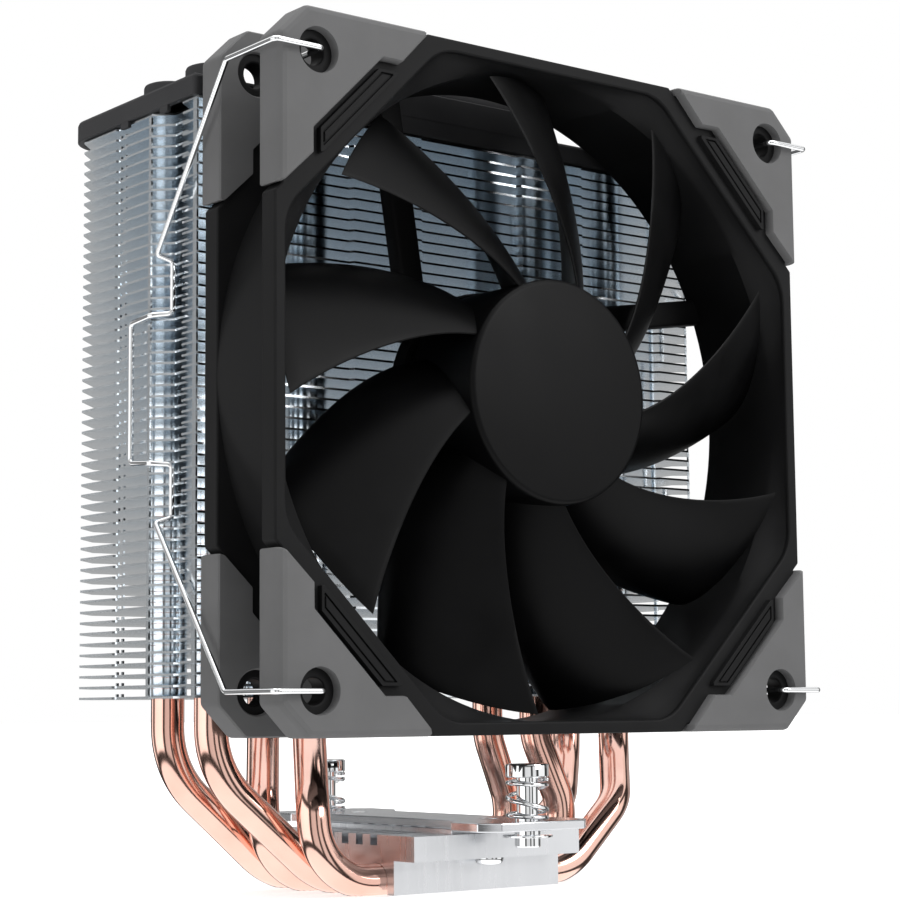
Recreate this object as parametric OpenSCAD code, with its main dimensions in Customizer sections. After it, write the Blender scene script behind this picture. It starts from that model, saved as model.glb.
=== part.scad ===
// Tower cooler for a desktop processor: a finned stack on four heat pipes, a 120 mm fan
// held by two spring wire clips, and a base with a sprung mounting bar.
// Millimetres. The origin is the centre of the base's contact face, +Z is up and the fan
// faces -Y.

/* [Fan] */
// Width and height of the square fan frame
fan_size = 120; // [116:0.5:124]
// Depth of the fan over its rubber pads
fan_depth = 25; // [25:0.5:28]
// Spacing of the four frame holes
hole_spacing = 105; // [102:0.5:106]
// Height of the fan centre above the contact face
fan_z = 88; // [86:0.5:92]
// Distance from the base centre to the front face of the pads
fan_front = 43; // [43:0.5:48]
// Number of blades
blade_count = 9; // [5:1:11]
// Radius of the blade tips
tip_r = 56.8; // [54:0.1:57]
// Outer radius of the hub
hub_r = 20.1; // [19:0.1:20.5]

/* [Fin stack] */
// Number of fins
fin_count = 54; // [40:1:54]
// Distance from one fin to the next
fin_pitch = 1.93; // [1.8:0.01:1.94]
// Thickness of one fin
fin_t = 0.4; // [0.3:0.05:0.6]
// Width of the stack, side to side
stack_w = 120; // [118:0.5:122]
// Depth of the stack, front to back
stack_d = 45.4; // [44:0.2:50]
// Height of the lowest fin above the contact face
stack_z = 34.7; // [34:0.1:38]

/* [Heat pipes] */
// Outer diameter of a heat pipe
pipe_d = 6; // [5.5:0.1:6]
// Distance from one pipe to the next inside the base
base_pitch = 8; // [7.5:0.1:8.5]
// Distance from the middle plane to the outer legs
outer_leg_x = 47.2; // [46:0.1:48]
// Distance from the middle plane to the inner legs
inner_leg_x = 26.7; // [26:0.1:28]

/* [Base] */
// Width of the contact block
block_w = 38; // [37:0.5:40]
// Length of the contact block, front to back
block_l = 34; // [34:0.5:36]
// Height of the contact block
block_h = 6; // [6:0.1:7]
// Length of the upper plate, front to back
cap_l = 46; // [45:0.5:48]
// Overall length of the mounting bar
bar_l = 71; // [70:0.5:74]
// Distance between the two mounting screws
screw_spacing = 62.2; // [61:0.2:64]

/* [Hidden] */

$fn = 64;
eps = 0.01;

// Colours
aluminium = [0.78, 0.80, 0.83];
bright_metal = [0.86, 0.87, 0.88];
chrome = [0.75, 0.76, 0.78];
copper = [0.80, 0.48, 0.36];
black_plastic = [0.10, 0.10, 0.11];
cover_plastic = [0.20, 0.20, 0.21];
rubber_grey = [0.42, 0.42, 0.42];
steel = [0.55, 0.56, 0.58];
board_green = [0.06, 0.28, 0.16];
enamel_wire = [0.72, 0.34, 0.14];
magnet_dark = [0.25, 0.24, 0.24];
bronze = [0.72, 0.56, 0.34];
nylon_white = [0.92, 0.92, 0.90];
label_grey = [0.55, 0.55, 0.56];

// Bent bars
bar_lap = 0.05;
bar_relief = 0.02;

// Pipes
pipe_r = pipe_d / 2;
pipe_axis_z = 2.4;
pipe_tip_h = 1.2;
pipe_tip_r = 1.2;
groove_gap = 0.05;
rear_leg_y = 13;
front_leg_y = -1.7;

// Fins
stack_front_y = fan_depth - fan_front + 0.6;
stack_rear_y = stack_front_y + stack_d;
stack_top_z = stack_z + (fin_count - 1) * fin_pitch + fin_t;
collar_r = pipe_r + 0.45;
collar_gap = 0.08;
notch_depth = 3;
fin_chamfer = 5.5;
square_corner = 0.3;
tab_w = 1.2;
tab_t = 0.4;
side_tab_y = stack_front_y + 15.6;
corner_tab_inset = 2;

// Cover
cover_gap = 0.2;
cover_z = stack_top_z + cover_gap;
cover_h = 3.8;
cover_skin = 1.4;
cover_wall = 1.2;
cover_overhang = 0.8;
cover_corner_r = 7;
boss_r = 5;
boss_top_z = 147.8;
boss_roof = 2;
boss_edge = 0.6;
boss_bore_gap = 0.15;
panel_w = 40;
panel_l = 40;
panel_top_z = 147.2;
pipe_top_z = boss_top_z - boss_roof - pipe_tip_h - cover_gap;

// Base
cap_h = 4.4;
land_h = 0.8;
land_w = 15;
land_setback = 4;
bar_t = 1.6;
bar_z = block_h + cap_h + land_h;
bar_top_z = bar_z + bar_t;
slot_w = 2.1;
slot_depth = 1.9;
slot_pitch = 4.4;
fixing_y = 20.2;
fixing_r = 1.5;
fixing_gap = 0.02;
fixing_head_r = 2.7;
fixing_head_h = 1.3;

// Mounting screws
screw_y = screw_spacing / 2;
head_r = 3.85;
head_h = 2.4;
head_z = 20.4;
shank_r = 1.9;
guide_r = 2.3;
guide_gap = 0.08;
guide_top_z = bar_top_z + 0.6;
screw_tip_z = 8.2;
thread_r = 1.25;
thread_depth = 6;
ring_r = 4.45;
ring_t = 0.5;
ring_z = 9.9;
groove_r = 1.7;
spring_wire_r = 0.36;
spring_turns = 3.1;
spring_end_gap = 0.03;

// Fan, measured backwards from the front face of the pads
face_y = 1.8;
strip_y = 0.7;
flange_t = 4;
pad_t = 6.5;
duct_inner_r = 57.8;
duct_outer_r = 59.9;
inlet_depth = 2.2;
opening_flat = 57.8;
opening_diagonal = 59;
frame_hole_r = 2.2;
pad_hole_r = 3.75;
pad_skin = 1.4;
pocket_gap = 0.05;
pad_corner = fan_size - 5.4;
pad_reach = fan_size - 31.6;
pad_step = fan_size - 27.4;
motor_plate_y = 21.4;
motor_plate_t = 1.6;
motor_plate_r = 20.6;
strut_y = 20.9;
strut_rear_y = 24.6;
strut_w = 5;
strut_offset = 14;
strut_start = 14;
strut_end = 57;
strut_angle = 9;
rim_t = 1.5;
tube_r = 5.2;
tube_front_y = 9.5;
sleeve_r = 3.6;
sleeve_floor_y = motor_plate_y + 0.6;
shaft_r = 1.5;
running_gap = 0.04;

// Impeller
hub_front_y = 1.1;
hub_rear_y = 19.4;
hub_wall = 1.5;
blade_t = 1.3;
blade_front_y = 2.4;
blade_rear_y = 19.4;
blade_steps = 9;
chord_steps = 7;

// Motor
press_gap = 0.02;
yoke_r = hub_r - hub_wall - press_gap;
yoke_t = 0.8;
magnet_t = 1.8;
magnet_front_y = 8.5;
air_gap = 0.5;
boss_inner_r = 3.4;
boss_rear_y = 8.2;
shaft_end_y = 21.65;
clip_groove_y = 21.1;
clip_groove_w = 0.4;
shaft_clip_t = 0.3;
stator_front_y = 11;
stator_rear_y = 16.4;
stator_r = yoke_r - yoke_t - magnet_t - air_gap - press_gap;
pole_w = 3.8;
pole_tip_t = 1.6;
stator_core_r = 7.4;
slot_mouth_w = 1.6;
coil_w = 6.2;
coil_overhang = 1.2;
board_front_y = 20.3;
board_t = 1;

// Wire clips
clip_wire_r = 0.5;

// ---------- helpers ----------

// Moves a shape drawn about the Y axis to the fan's centre line
module at_fan() {
    translate([0, -fan_front, fan_z])
        children();
}

// A disc or tube about the fan's axis, from one depth to another
module fan_ring(outer, inner, from_y, to_y) {
    translate([0, from_y, 0])
        rotate([-90, 0, 0])
            difference() {
                cylinder(r = outer, h = to_y - from_y);
                if (inner > 0)
                    translate([0, 0, -1])
                        cylinder(r = inner, h = to_y - from_y + 2);
            }
}

// A plate across the fan, drawn in x and z, from one depth to another
module fan_plate(from_y, to_y) {
    translate([0, to_y, 0])
        rotate([90, 0, 0])
            linear_extrude(height = to_y - from_y)
                children();
}

function unit(v) = v / norm(v);

// Rounded corner at b on the way from a to c: turn, distance to the tangent points
function corner_turn(a, b, c) = 180 - acos(unit(a - b) * unit(c - b));
function corner_cut(a, b, c, r) = r * tan(corner_turn(a, b, c) / 2);

// Round bar from a to b. It is a hair thinner than the bends and reaches a little way
// into them, so that the joined pieces are one solid.
module bar_between(a, b, r) {
    d = unit(b - a);
    from = a - d * bar_lap;
    length = norm(b - a) + 2 * bar_lap;
    translate(from)
        rotate([0, acos(d[2]), atan2(d[1], d[0])])
            cylinder(r = r - bar_relief, h = length);
}

// Bent round bar that rounds the corner b with the given bend radius
module bar_bend(a, b, c, bend, r) {
    turn = corner_turn(a, b, c);
    ua = unit(a - b);
    uc = unit(c - b);
    start = b + ua * corner_cut(a, b, c, bend);
    centre = b + unit(ua + uc) * (bend / cos(turn / 2));
    x_dir = unit(start - centre);
    z_dir = unit(cross(-ua, uc));
    y_dir = cross(z_dir, x_dir);
    multmatrix([
        [x_dir[0], y_dir[0], z_dir[0], centre[0]],
        [x_dir[1], y_dir[1], z_dir[1], centre[1]],
        [x_dir[2], y_dir[2], z_dir[2], centre[2]],
        [0, 0, 0, 1]])
        rotate_extrude(angle = turn)
            translate([bend, 0])
                circle(r = r);
}

// Bar through the points p, with the bend radius bends[i] at the inner point i + 1
module bent_bar(p, bends, r) {
    last = len(p) - 1;
    for (i = [0 : last - 1]) {
        d = unit(p[i + 1] - p[i]);
        cut_a = i == 0 ? bar_lap : corner_cut(p[i - 1], p[i], p[i + 1], bends[i - 1]);
        cut_b = i == last - 1 ? bar_lap : corner_cut(p[i], p[i + 1], p[i + 2], bends[i]);
        bar_between(p[i] + d * cut_a, p[i + 1] - d * cut_b, r);
    }
    for (i = [1 : last - 1])
        bar_bend(p[i - 1], p[i], p[i + 1], bends[i - 1], r);
}

function reversed(list) = [for (i = [len(list) - 1 : -1 : 0]) list[i]];

// ---------- base ----------

module base_block() {
    color(bright_metal)
        difference() {
            translate([-block_w / 2, -block_l / 2, 0])
                cube([block_w, block_l, block_h]);
            for (i = [-1.5 : 1 : 1.5])
                translate([-block_w / 2 - 1, i * base_pitch, 0]) {
                    translate([0, 0, pipe_axis_z])
                        rotate([0, 90, 0])
                            cylinder(r = pipe_r + groove_gap, h = block_w + 2);
                    translate([0, -pipe_r - groove_gap, -1])
                        cube([block_w + 2, pipe_d + 2 * groove_gap, pipe_axis_z + 1]);
                }
        }
}

module base_cap() {
    color(bright_metal)
        difference() {
            union() {
                translate([-block_w / 2, -cap_l / 2, block_h])
                    cube([block_w, cap_l, cap_h]);
                translate([-land_w / 2, -cap_l / 2 + land_setback, block_h + cap_h - eps])
                    cube([land_w, cap_l - 2 * land_setback, land_h + eps]);
            }
            for (i = [-2.5 : 1 : 2.5])
                for (side = [-1, 1])
                    translate([side > 0 ? land_w / 2 + 1 : -block_w / 2 - 1,
                        i * slot_pitch - slot_w / 2, block_h + cap_h - slot_depth])
                        cube([(block_w - land_w) / 2, slot_w, slot_depth + 1]);
            for (side = [-1, 1])
                translate([0, side * fixing_y, block_h - 1])
                    cylinder(r = fixing_r + fixing_gap, h = cap_h + land_h + 2);
        }
}

module bar_outline() {
    half = bar_l / 2;
    end_w = 12.5;
    mid_w = 8;
    chamfer = 3;
    shoulder = half - 10.5;
    polygon([[end_w - chamfer, -half], [end_w, -half + chamfer], [end_w, -shoulder],
        [mid_w, -shoulder + end_w - mid_w], [mid_w, shoulder - end_w + mid_w],
        [end_w, shoulder], [end_w, half - chamfer], [end_w - chamfer, half],
        [chamfer - end_w, half], [-end_w, half - chamfer], [-end_w, shoulder],
        [-mid_w, shoulder - end_w + mid_w], [-mid_w, -shoulder + end_w - mid_w],
        [-end_w, -shoulder], [-end_w, -half + chamfer], [chamfer - end_w, -half]]);
}

module mounting_bar() {
    color(bright_metal)
        translate([0, 0, bar_z])
            difference() {
                linear_extrude(height = bar_t)
                    bar_outline();
                for (side = [-1, 1]) {
                    translate([0, side * screw_y, -1])
                        cylinder(r = guide_r + guide_gap, h = bar_t + 2);
                    translate([0, side * fixing_y, -1])
                        cylinder(r = fixing_r + fixing_gap, h = bar_t + 2);
                }
            }
}

// Two screws that come up through the cap into the bar, with low round heads below
module bar_fixing_screws() {
    color(chrome)
        for (side = [-1, 1])
            translate([0, side * fixing_y, 0])
                difference() {
                    union() {
                        translate([0, 0, block_h - fixing_head_h])
                            cylinder(r = fixing_head_r, h = fixing_head_h);
                        translate([0, 0, block_h - eps])
                            cylinder(r = fixing_r, h = bar_top_z - block_h - 0.3);
                    }
                    translate([0, 0, block_h - fixing_head_h - 1])
                        cylinder(r = fixing_head_r / 2, h = 1.5, $fn = 6);
                }
}

// ---------- sprung mounting screws ----------

module mounting_screw(y) {
    color(chrome)
        translate([0, y, 0])
            difference() {
                union() {
                    translate([0, 0, head_z])
                        cylinder(r = head_r, h = head_h);
                    translate([0, 0, guide_top_z - eps])
                        cylinder(r = shank_r, h = head_z - guide_top_z + 2 * eps);
                    translate([0, 0, ring_z + ring_t])
                        cylinder(r = guide_r, h = guide_top_z - ring_z - ring_t);
                    translate([0, 0, ring_z - eps])
                        cylinder(r = groove_r, h = ring_t + 2 * eps);
                    translate([0, 0, screw_tip_z])
                        cylinder(r = guide_r, h = ring_z - screw_tip_z);
                }
                for (turn = [0, 90])
                    translate([0, 0, head_z + head_h - 0.7])
                        rotate([0, 0, turn])
                            cube([4.4, 0.9, 1.6], center = true);
                translate([0, 0, screw_tip_z - 1])
                    cylinder(r = thread_r, h = thread_depth + 1);
            }
}

module front_mounting_screw() {
    mounting_screw(-screw_y);
}

module rear_mounting_screw() {
    mounting_screw(screw_y);
}

// Height of the spring's wire centre after a part t of its length: flat first and last
// turns with a steady rise between them
function spring_rise(t) =
    let (flat = 1 / spring_turns, rise = 0.15)
    t < flat ? rise * t / flat
    : t > 1 - flat ? 1 - rise * (1 - t) / flat
    : rise + (1 - 2 * rise) * (t - flat) / (1 - 2 * flat);

module screw_spring(y) {
    sides = 8;
    rings = 68;
    coil_r = head_r - spring_wire_r;
    low = bar_top_z + spring_wire_r + spring_end_gap;
    high = head_z - spring_wire_r - spring_end_gap;
    points = [for (i = [0 : rings]) let (t = i / rings, a = 360 * spring_turns * t)
        for (j = [0 : sides - 1]) let (b = 360 * j / sides)
            [cos(a) * (coil_r + spring_wire_r * cos(b)),
             sin(a) * (coil_r + spring_wire_r * cos(b)),
             low + (high - low) * spring_rise(t) + spring_wire_r * sin(b)]];
    walls = [for (i = [0 : rings - 1]) for (j = [0 : sides - 1])
        let (k = (j + 1) % sides)
        [i * sides + j, (i + 1) * sides + j, (i + 1) * sides + k, i * sides + k]];
    start = [for (j = [0 : sides - 1]) j];
    finish = [for (j = [sides - 1 : -1 : 0]) rings * sides + j];
    color(chrome)
        translate([0, y, 0])
            mirror([0, 1, 0])
                polyhedron(points = points, faces = concat(walls, [start, finish]));
}

module front_screw_spring() {
    screw_spring(-screw_y);
}

module rear_screw_spring() {
    screw_spring(screw_y);
}

// Open retaining ring in the screw's groove, with three inner lobes
module retaining_ring(y) {
    color(chrome)
        translate([0, y, ring_z + 0.05])
            difference() {
                cylinder(r = ring_r, h = ring_t - 0.1);
                translate([0, 0, -1])
                    cylinder(r = groove_r + 0.05, h = 3);
                translate([0, -groove_r, -1])
                    cube([ring_r + 1, 2 * groove_r, 3]);
                for (turn = [110, 250])
                    rotate([0, 0, turn])
                        translate([groove_r + 0.6, 0, -1])
                            cylinder(r = 1, h = 3);
            }
}

module front_retaining_ring() {
    retaining_ring(-screw_y);
}

module rear_retaining_ring() {
    retaining_ring(screw_y);
}

// ---------- heat pipes ----------

// Each pipe has an outer leg on one side and an inner leg on the other. A leg's points run
// from its top down to the base.
function left_outer(base_y, leg_y) = [[-outer_leg_x, leg_y, pipe_top_z],
    [-outer_leg_x, leg_y, 22], [-25.1, base_y, pipe_axis_z]];
function left_inner(base_y, leg_y) = [[-inner_leg_x, leg_y, pipe_top_z],
    [-inner_leg_x, leg_y, 32], [-31.8, base_y + 1.5, 16], [-31.6, base_y, pipe_axis_z]];
function right_outer(base_y, leg_y) = [[outer_leg_x, leg_y, pipe_top_z],
    [outer_leg_x, leg_y, 24], [40, base_y + 2, 14.5], [25.1, base_y, pipe_axis_z]];
function right_inner(base_y, leg_y) = [[inner_leg_x, leg_y, pipe_top_z],
    [inner_leg_x, leg_y, 27], [31, base_y + 0.5, 15], [31.6, base_y, pipe_axis_z]];
left_outer_bends = [17, 15];
left_inner_bends = [20, 11, 10.5];
right_outer_bends = [12, 12, 15];
right_inner_bends = [12, 10, 10];

// A pipe bent into a U: both legs, a straight run through the base, a flat underneath
// that lies flush with the contact face, and closed ends
module heat_pipe(left, left_bends, right, right_bends) {
    points = concat(left, reversed(right));
    all_bends = concat(left_bends, reversed(right_bends));
    color(copper)
        difference() {
            union() {
                bent_bar(points, all_bends, pipe_r);
                for (p = [points[0], points[len(points) - 1]])
                    translate(p)
                        translate([0, 0, -eps])
                            cylinder(r1 = pipe_r - 2 * bar_relief, r2 = pipe_tip_r, h = pipe_tip_h);
            }
            translate([-stack_w / 2, left[0][1] - 60, -10])
                cube([stack_w, 120, 10]);
        }
}

module heat_pipe_1() {
    y = 1.5 * base_pitch;
    heat_pipe(left_outer(y, rear_leg_y), left_outer_bends,
        right_inner(y, rear_leg_y), right_inner_bends);
}

module heat_pipe_2() {
    y = 0.5 * base_pitch;
    heat_pipe(left_inner(y, rear_leg_y), left_inner_bends,
        right_outer(y, rear_leg_y), right_outer_bends);
}

module heat_pipe_3() {
    y = -0.5 * base_pitch;
    heat_pipe(left_outer(y, front_leg_y), left_outer_bends,
        right_inner(y, front_leg_y), right_inner_bends);
}

module heat_pipe_4() {
    y = -1.5 * base_pitch;
    heat_pipe(left_inner(y, front_leg_y), left_inner_bends,
        right_outer(y, front_leg_y), right_outer_bends);
}

// Places its children at the eight pipe legs
module at_legs() {
    for (x = [-outer_leg_x, -inner_leg_x, inner_leg_x, outer_leg_x])
        for (y = [front_leg_y, rear_leg_y])
            translate([x, y, 0])
                children();
}

// ---------- fin stack ----------

// Outline of a fin's right half, with its corners cut by two sizes and a notch for the wire
// clip near the front
function fin_side(front_cut, rear_cut) =
    let (edge = stack_w / 2, floor_x = edge - notch_depth, front = stack_front_y)
    [[edge - front_cut, front], [edge, front + front_cut],
     [edge, front + max(front_cut + 0.1, 5)], [floor_x, front + 7.6],
     [floor_x, front + 12.2], [edge, front + 15.4], [edge, stack_rear_y - rear_cut],
     [edge - rear_cut, stack_rear_y]];

// The front right and rear left corners are cut, and the others are nearly square
module fin_outline() {
    right = fin_side(fin_chamfer, square_corner);
    left = [for (p = reversed(fin_side(square_corner, fin_chamfer))) [-p[0], p[1]]];
    polygon(concat(right, left));
}

// The fins, joined at each side by the folded tabs that set their spacing
module fin_stack() {
    color(aluminium)
        union() {
            for (i = [0 : fin_count - 1])
                translate([0, 0, stack_z + i * fin_pitch])
                    linear_extrude(height = fin_t)
                        difference() {
                            fin_outline();
                            at_legs()
                                circle(r = collar_r + collar_gap);
                        }
            for (side = [0, 1])
                mirror([side, 0, 0])
                    translate([stack_w / 2 - tab_t, side_tab_y, stack_z])
                        cube([tab_t, tab_w, stack_top_z - stack_z]);
            translate([-stack_w / 2, stack_front_y + square_corner, stack_z])
                cube([tab_t, tab_w, stack_top_z - stack_z]);
            translate([stack_w / 2 - corner_tab_inset,
                stack_front_y + fin_chamfer - corner_tab_inset, stack_z])
                rotate([0, 0, 45])
                    translate([-tab_w, 0.01, 0])
                        cube([tab_w, tab_t, stack_top_z - stack_z]);
        }
}

// The collars that the fins have around each pipe, stacked into one sleeve per leg
module fin_collars() {
    color(aluminium)
        at_legs()
            translate([0, 0, stack_z])
                difference() {
                    cylinder(r = collar_r, h = stack_top_z - stack_z);
                    translate([0, 0, -1])
                        cylinder(r = pipe_r + collar_gap, h = stack_top_z - stack_z + 2);
                }
}

// ---------- top cover ----------

// The cover's outline: its rear left and front right corners are rounded in steps
module cover_outline(grow) {
    edge = stack_w / 2 + grow;
    rear = stack_rear_y + grow;
    inner_x = edge - cover_corner_r;
    polygon(concat([[edge, rear]], [[-inner_x, rear]],
        [for (turn = [22.5 : 22.5 : 67.5]) [-inner_x - cover_corner_r * sin(turn),
            rear - cover_corner_r * (1 - cos(turn))]],
        [[-edge, rear - cover_corner_r], [-edge, stack_front_y], [inner_x, stack_front_y]],
        [for (turn = [22.5 : 22.5 : 67.5]) [inner_x + cover_corner_r * sin(turn),
            stack_front_y + cover_corner_r * (1 - cos(turn))]],
        [[edge, stack_front_y + cover_corner_r]]));
}

// Plastic cover: a skin with a skirt, a raised panel in the middle of its front and a closed
// boss over each pipe end
module top_cover() {
    color(cover_plastic)
        difference() {
            union() {
                translate([0, 0, cover_z])
                    linear_extrude(height = cover_h)
                        cover_outline(cover_overhang);
                at_legs() {
                    translate([0, 0, cover_z])
                        cylinder(r = boss_r, h = boss_top_z - cover_z - boss_edge);
                    translate([0, 0, boss_top_z - boss_edge - eps])
                        cylinder(r1 = boss_r, r2 = boss_r - boss_edge, h = boss_edge + eps);
                }
                translate([-panel_w / 2, stack_front_y, cover_z])
                    cube([panel_w, panel_l, panel_top_z - cover_z]);
            }
            difference() {
                translate([0, 0, cover_z - 1])
                    linear_extrude(height = cover_h - cover_skin + 1)
                        intersection() {
                            cover_outline(cover_overhang - cover_wall);
                            translate([-stack_w, stack_front_y + cover_wall])
                                square([2 * stack_w, 100]);
                        }
                at_legs()
                    translate([0, 0, cover_z - 2])
                        cylinder(r = boss_r, h = cover_h + 4);
            }
            translate([cover_wall - panel_w / 2, stack_front_y + cover_wall, cover_z - 1])
                cube([panel_w - 2 * cover_wall, panel_l - 2 * cover_wall,
                    panel_top_z - cover_skin - cover_z + 1]);
            at_legs()
                translate([0, 0, cover_z - 1])
                    cylinder(r = pipe_r + boss_bore_gap, h = boss_top_z - boss_roof - cover_z + 1);
        }
}

// ---------- fan frame ----------

// Outline of the inlet: a square with its corners cut off
module inlet_outline() {
    intersection() {
        square(2 * opening_flat, center = true);
        rotate(45)
            square(2 * opening_diagonal, center = true);
    }
}

// A flange, narrower at the corners where the pads wrap it
module flange_outline() {
    s = fan_size / 2;
    inner = s - pad_skin;
    cut = pad_corner - 2 * pad_skin - inner;
    reach = pad_reach - s;
    corner = [[s, -reach], [s, reach], [inner, reach + pad_skin], [inner, cut],
        [cut, inner], [reach + pad_skin, inner], [reach, s]];
    polygon([for (q = [0 : 3]) for (p = corner)
        let (c = cos(90 * q), n = sin(90 * q))
        [p[0] * c - p[1] * n, p[0] * n + p[1] * c]]);
}

module frame_holes(from_y, to_y) {
    for (x = [-1, 1])
        for (z = [-1, 1])
            translate([x * hole_spacing / 2, 0, z * hole_spacing / 2])
                fan_ring(frame_hole_r, 0, from_y, to_y);
}

// Raised strip in the notch of each corner pad
module corner_strip() {
    outer = fan_size / 2 - 8.3;
    inner = outer - 0.6;
    long_end = outer - 16.1;
    short_end = outer - 12;
    polygon([[outer, short_end], [short_end, outer], [long_end, outer], [long_end, inner],
        [inner, long_end], [outer, long_end]]);
}

module frame_flange(from_y) {
    fan_plate(from_y, from_y + flange_t)
        flange_outline();
}

// One strut of the motor support, drawn off centre as a straight arm
module strut(turn) {
    rotate([0, -turn, 0])
        translate([strut_start, strut_y, strut_offset - strut_w / 2])
            cube([strut_end - strut_start, strut_rear_y - strut_y, strut_w]);
}

module fan_frame() {
    color(black_plastic)
        at_fan()
            difference() {
                union() {
                    difference() {
                        union() {
                            frame_flange(face_y);
                            frame_flange(fan_depth - face_y - flange_t);
                            fan_ring(duct_outer_r, 0, face_y, fan_depth - face_y);
                            for (turn = [0 : 90 : 270])
                                rotate([0, turn, 0]) {
                                    fan_plate(strip_y, face_y + eps)
                                        corner_strip();
                                    fan_plate(fan_depth - face_y - eps, fan_depth - strip_y)
                                        corner_strip();
                                }
                        }
                        fan_ring(duct_inner_r, 0, 0, fan_depth);
                        fan_plate(face_y - 1, face_y + inlet_depth)
                            inlet_outline();
                    }
                    for (turn = [0 : 90 : 270])
                        strut(turn + strut_angle);
                    fan_ring(motor_plate_r, 0, motor_plate_y, motor_plate_y + motor_plate_t);
                    fan_ring(motor_plate_r, motor_plate_r - rim_t, motor_plate_y, strut_rear_y);
                    fan_ring(tube_r, 0, tube_front_y, motor_plate_y + 1);
                }
                fan_ring(motor_plate_r - rim_t, 0, motor_plate_y + motor_plate_t, fan_depth);
                fan_ring(sleeve_r, 0, tube_front_y - 1, sleeve_floor_y);
                frame_holes(0, fan_depth);
            }
}

// ---------- fan motor ----------

// Angle of the leading edge, and how far back round the hub the trailing edge is,
// at a part t of the way from the hub to the tip
function lead_angle(t) = 113.8 + 49.67 * t - 26.97 * t * t + 8.24 * t * t * t;
function blade_sweep(t) = 31.4 - 11.9 * t + 4.5 * t * t;
function blade_back_y(t) = blade_rear_y - 1.2 * t;

// Middle surface of a blade: t runs from hub to tip, s from the leading edge back
function blade_angle(t, s) = lead_angle(t) - blade_sweep(t) * (2 * s - s * s);
function blade_y(t, s) = blade_front_y + (blade_back_y(t) - blade_front_y) * s;
function blade_point(r, t, s) =
    [r * cos(blade_angle(t, s)), blade_y(t, s), r * sin(blade_angle(t, s))];

// Half thickness along the chord, thin at both edges
function blade_half(t, s) = 0.5 * (blade_t - 0.4 * t) * (0.35 + 0.65 * sin(180 * s));

function blade_normal(r, t, s) = unit(cross(
    blade_point(r, t, s + 0.02) - blade_point(r, t, s - 0.02),
    blade_point(r + 0.5, t + 0.013, s) - blade_point(r - 0.5, t - 0.013, s)));

module blade() {
    root_r = hub_r - 0.6;
    across = chord_steps + 1;
    sheet = across * (blade_steps + 1);
    points = [for (side = [-1, 1]) for (i = [0 : blade_steps]) for (j = [0 : chord_steps])
        let (t = i / blade_steps, s = j / chord_steps, r = root_r + (tip_r - root_r) * t)
        blade_point(r, t, s) + side * blade_half(t, s) * blade_normal(r, t, s)];
    quads = [for (i = [0 : blade_steps - 1]) for (j = [0 : chord_steps - 1])
        [i * across + j, i * across + j + 1, (i + 1) * across + j + 1,
         (i + 1) * across + j]];
    // The rim of the sheet, walked round once
    rim = concat([for (j = [0 : chord_steps]) j],
        [for (i = [1 : blade_steps]) i * across + chord_steps],
        [for (j = [chord_steps - 1 : -1 : 0]) blade_steps * across + j],
        [for (i = [blade_steps - 1 : -1 : 1]) i * across]);
    triangles = concat(
        [for (q = quads) each [[q[0], q[1], q[2]], [q[0], q[2], q[3]]]],
        [for (q = quads) each [[q[0] + sheet, q[2] + sheet, q[1] + sheet],
            [q[0] + sheet, q[3] + sheet, q[2] + sheet]]],
        [for (k = [0 : len(rim) - 1]) let (a = rim[k], b = rim[(k + 1) % len(rim)])
            each [[a, b + sheet, b], [a, a + sheet, b + sheet]]]);
    polyhedron(points = points, faces = triangles);
}

module impeller() {
    color(black_plastic)
        at_fan() {
            difference() {
                union() {
                    fan_ring(hub_r, 0, hub_front_y + 0.5, hub_rear_y);
                    fan_ring(hub_r - 0.5, 0, hub_front_y, hub_front_y + 1);
                }
                fan_ring(hub_r - hub_wall, 0, hub_front_y + hub_wall, hub_rear_y + 1);
            }
            difference() {
                fan_ring(boss_inner_r, 0, hub_front_y + 1, boss_rear_y);
                fan_ring(shaft_r + press_gap / 2, 0, hub_front_y + hub_wall, boss_rear_y + 1);
            }
            for (k = [0 : blade_count - 1])
                rotate([0, -360 * k / blade_count, 0])
                    blade();
        }
}

module rotor_yoke() {
    color(steel)
        at_fan()
            fan_ring(yoke_r, yoke_r - yoke_t, hub_front_y + hub_wall, hub_rear_y - 0.4);
}

module magnet_ring() {
    color(magnet_dark)
        at_fan()
            fan_ring(yoke_r - yoke_t - press_gap, yoke_r - yoke_t - magnet_t,
                magnet_front_y, hub_rear_y - 0.9);
}

module motor_shaft() {
    color(chrome)
        at_fan()
            difference() {
                fan_ring(shaft_r, 0, hub_front_y + hub_wall, shaft_end_y);
                fan_ring(shaft_r + 1, shaft_r - 0.35, clip_groove_y - clip_groove_w / 2,
                    clip_groove_y + clip_groove_w / 2);
            }
}

// Split ring that keeps the shaft in its sleeve
module shaft_clip() {
    color(nylon_white)
        at_fan()
            difference() {
                fan_ring(2.7, shaft_r - 0.3, clip_groove_y - shaft_clip_t / 2,
                    clip_groove_y + shaft_clip_t / 2);
                translate([-0.25, clip_groove_y - 1, 0])
                    cube([0.5, 2, 4]);
            }
}

module bearing_sleeve() {
    color(bronze)
        at_fan()
            fan_ring(sleeve_r - press_gap, shaft_r + running_gap, tube_front_y + 0.3,
                clip_groove_y - 0.35);
}

module thrust_pad() {
    color(nylon_white)
        at_fan()
            difference() {
                fan_ring(sleeve_r - press_gap, 0, clip_groove_y + 0.25, sleeve_floor_y);
                fan_ring(shaft_r + 0.1, 0, clip_groove_y, sleeve_floor_y - 0.3);
            }
}

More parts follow.
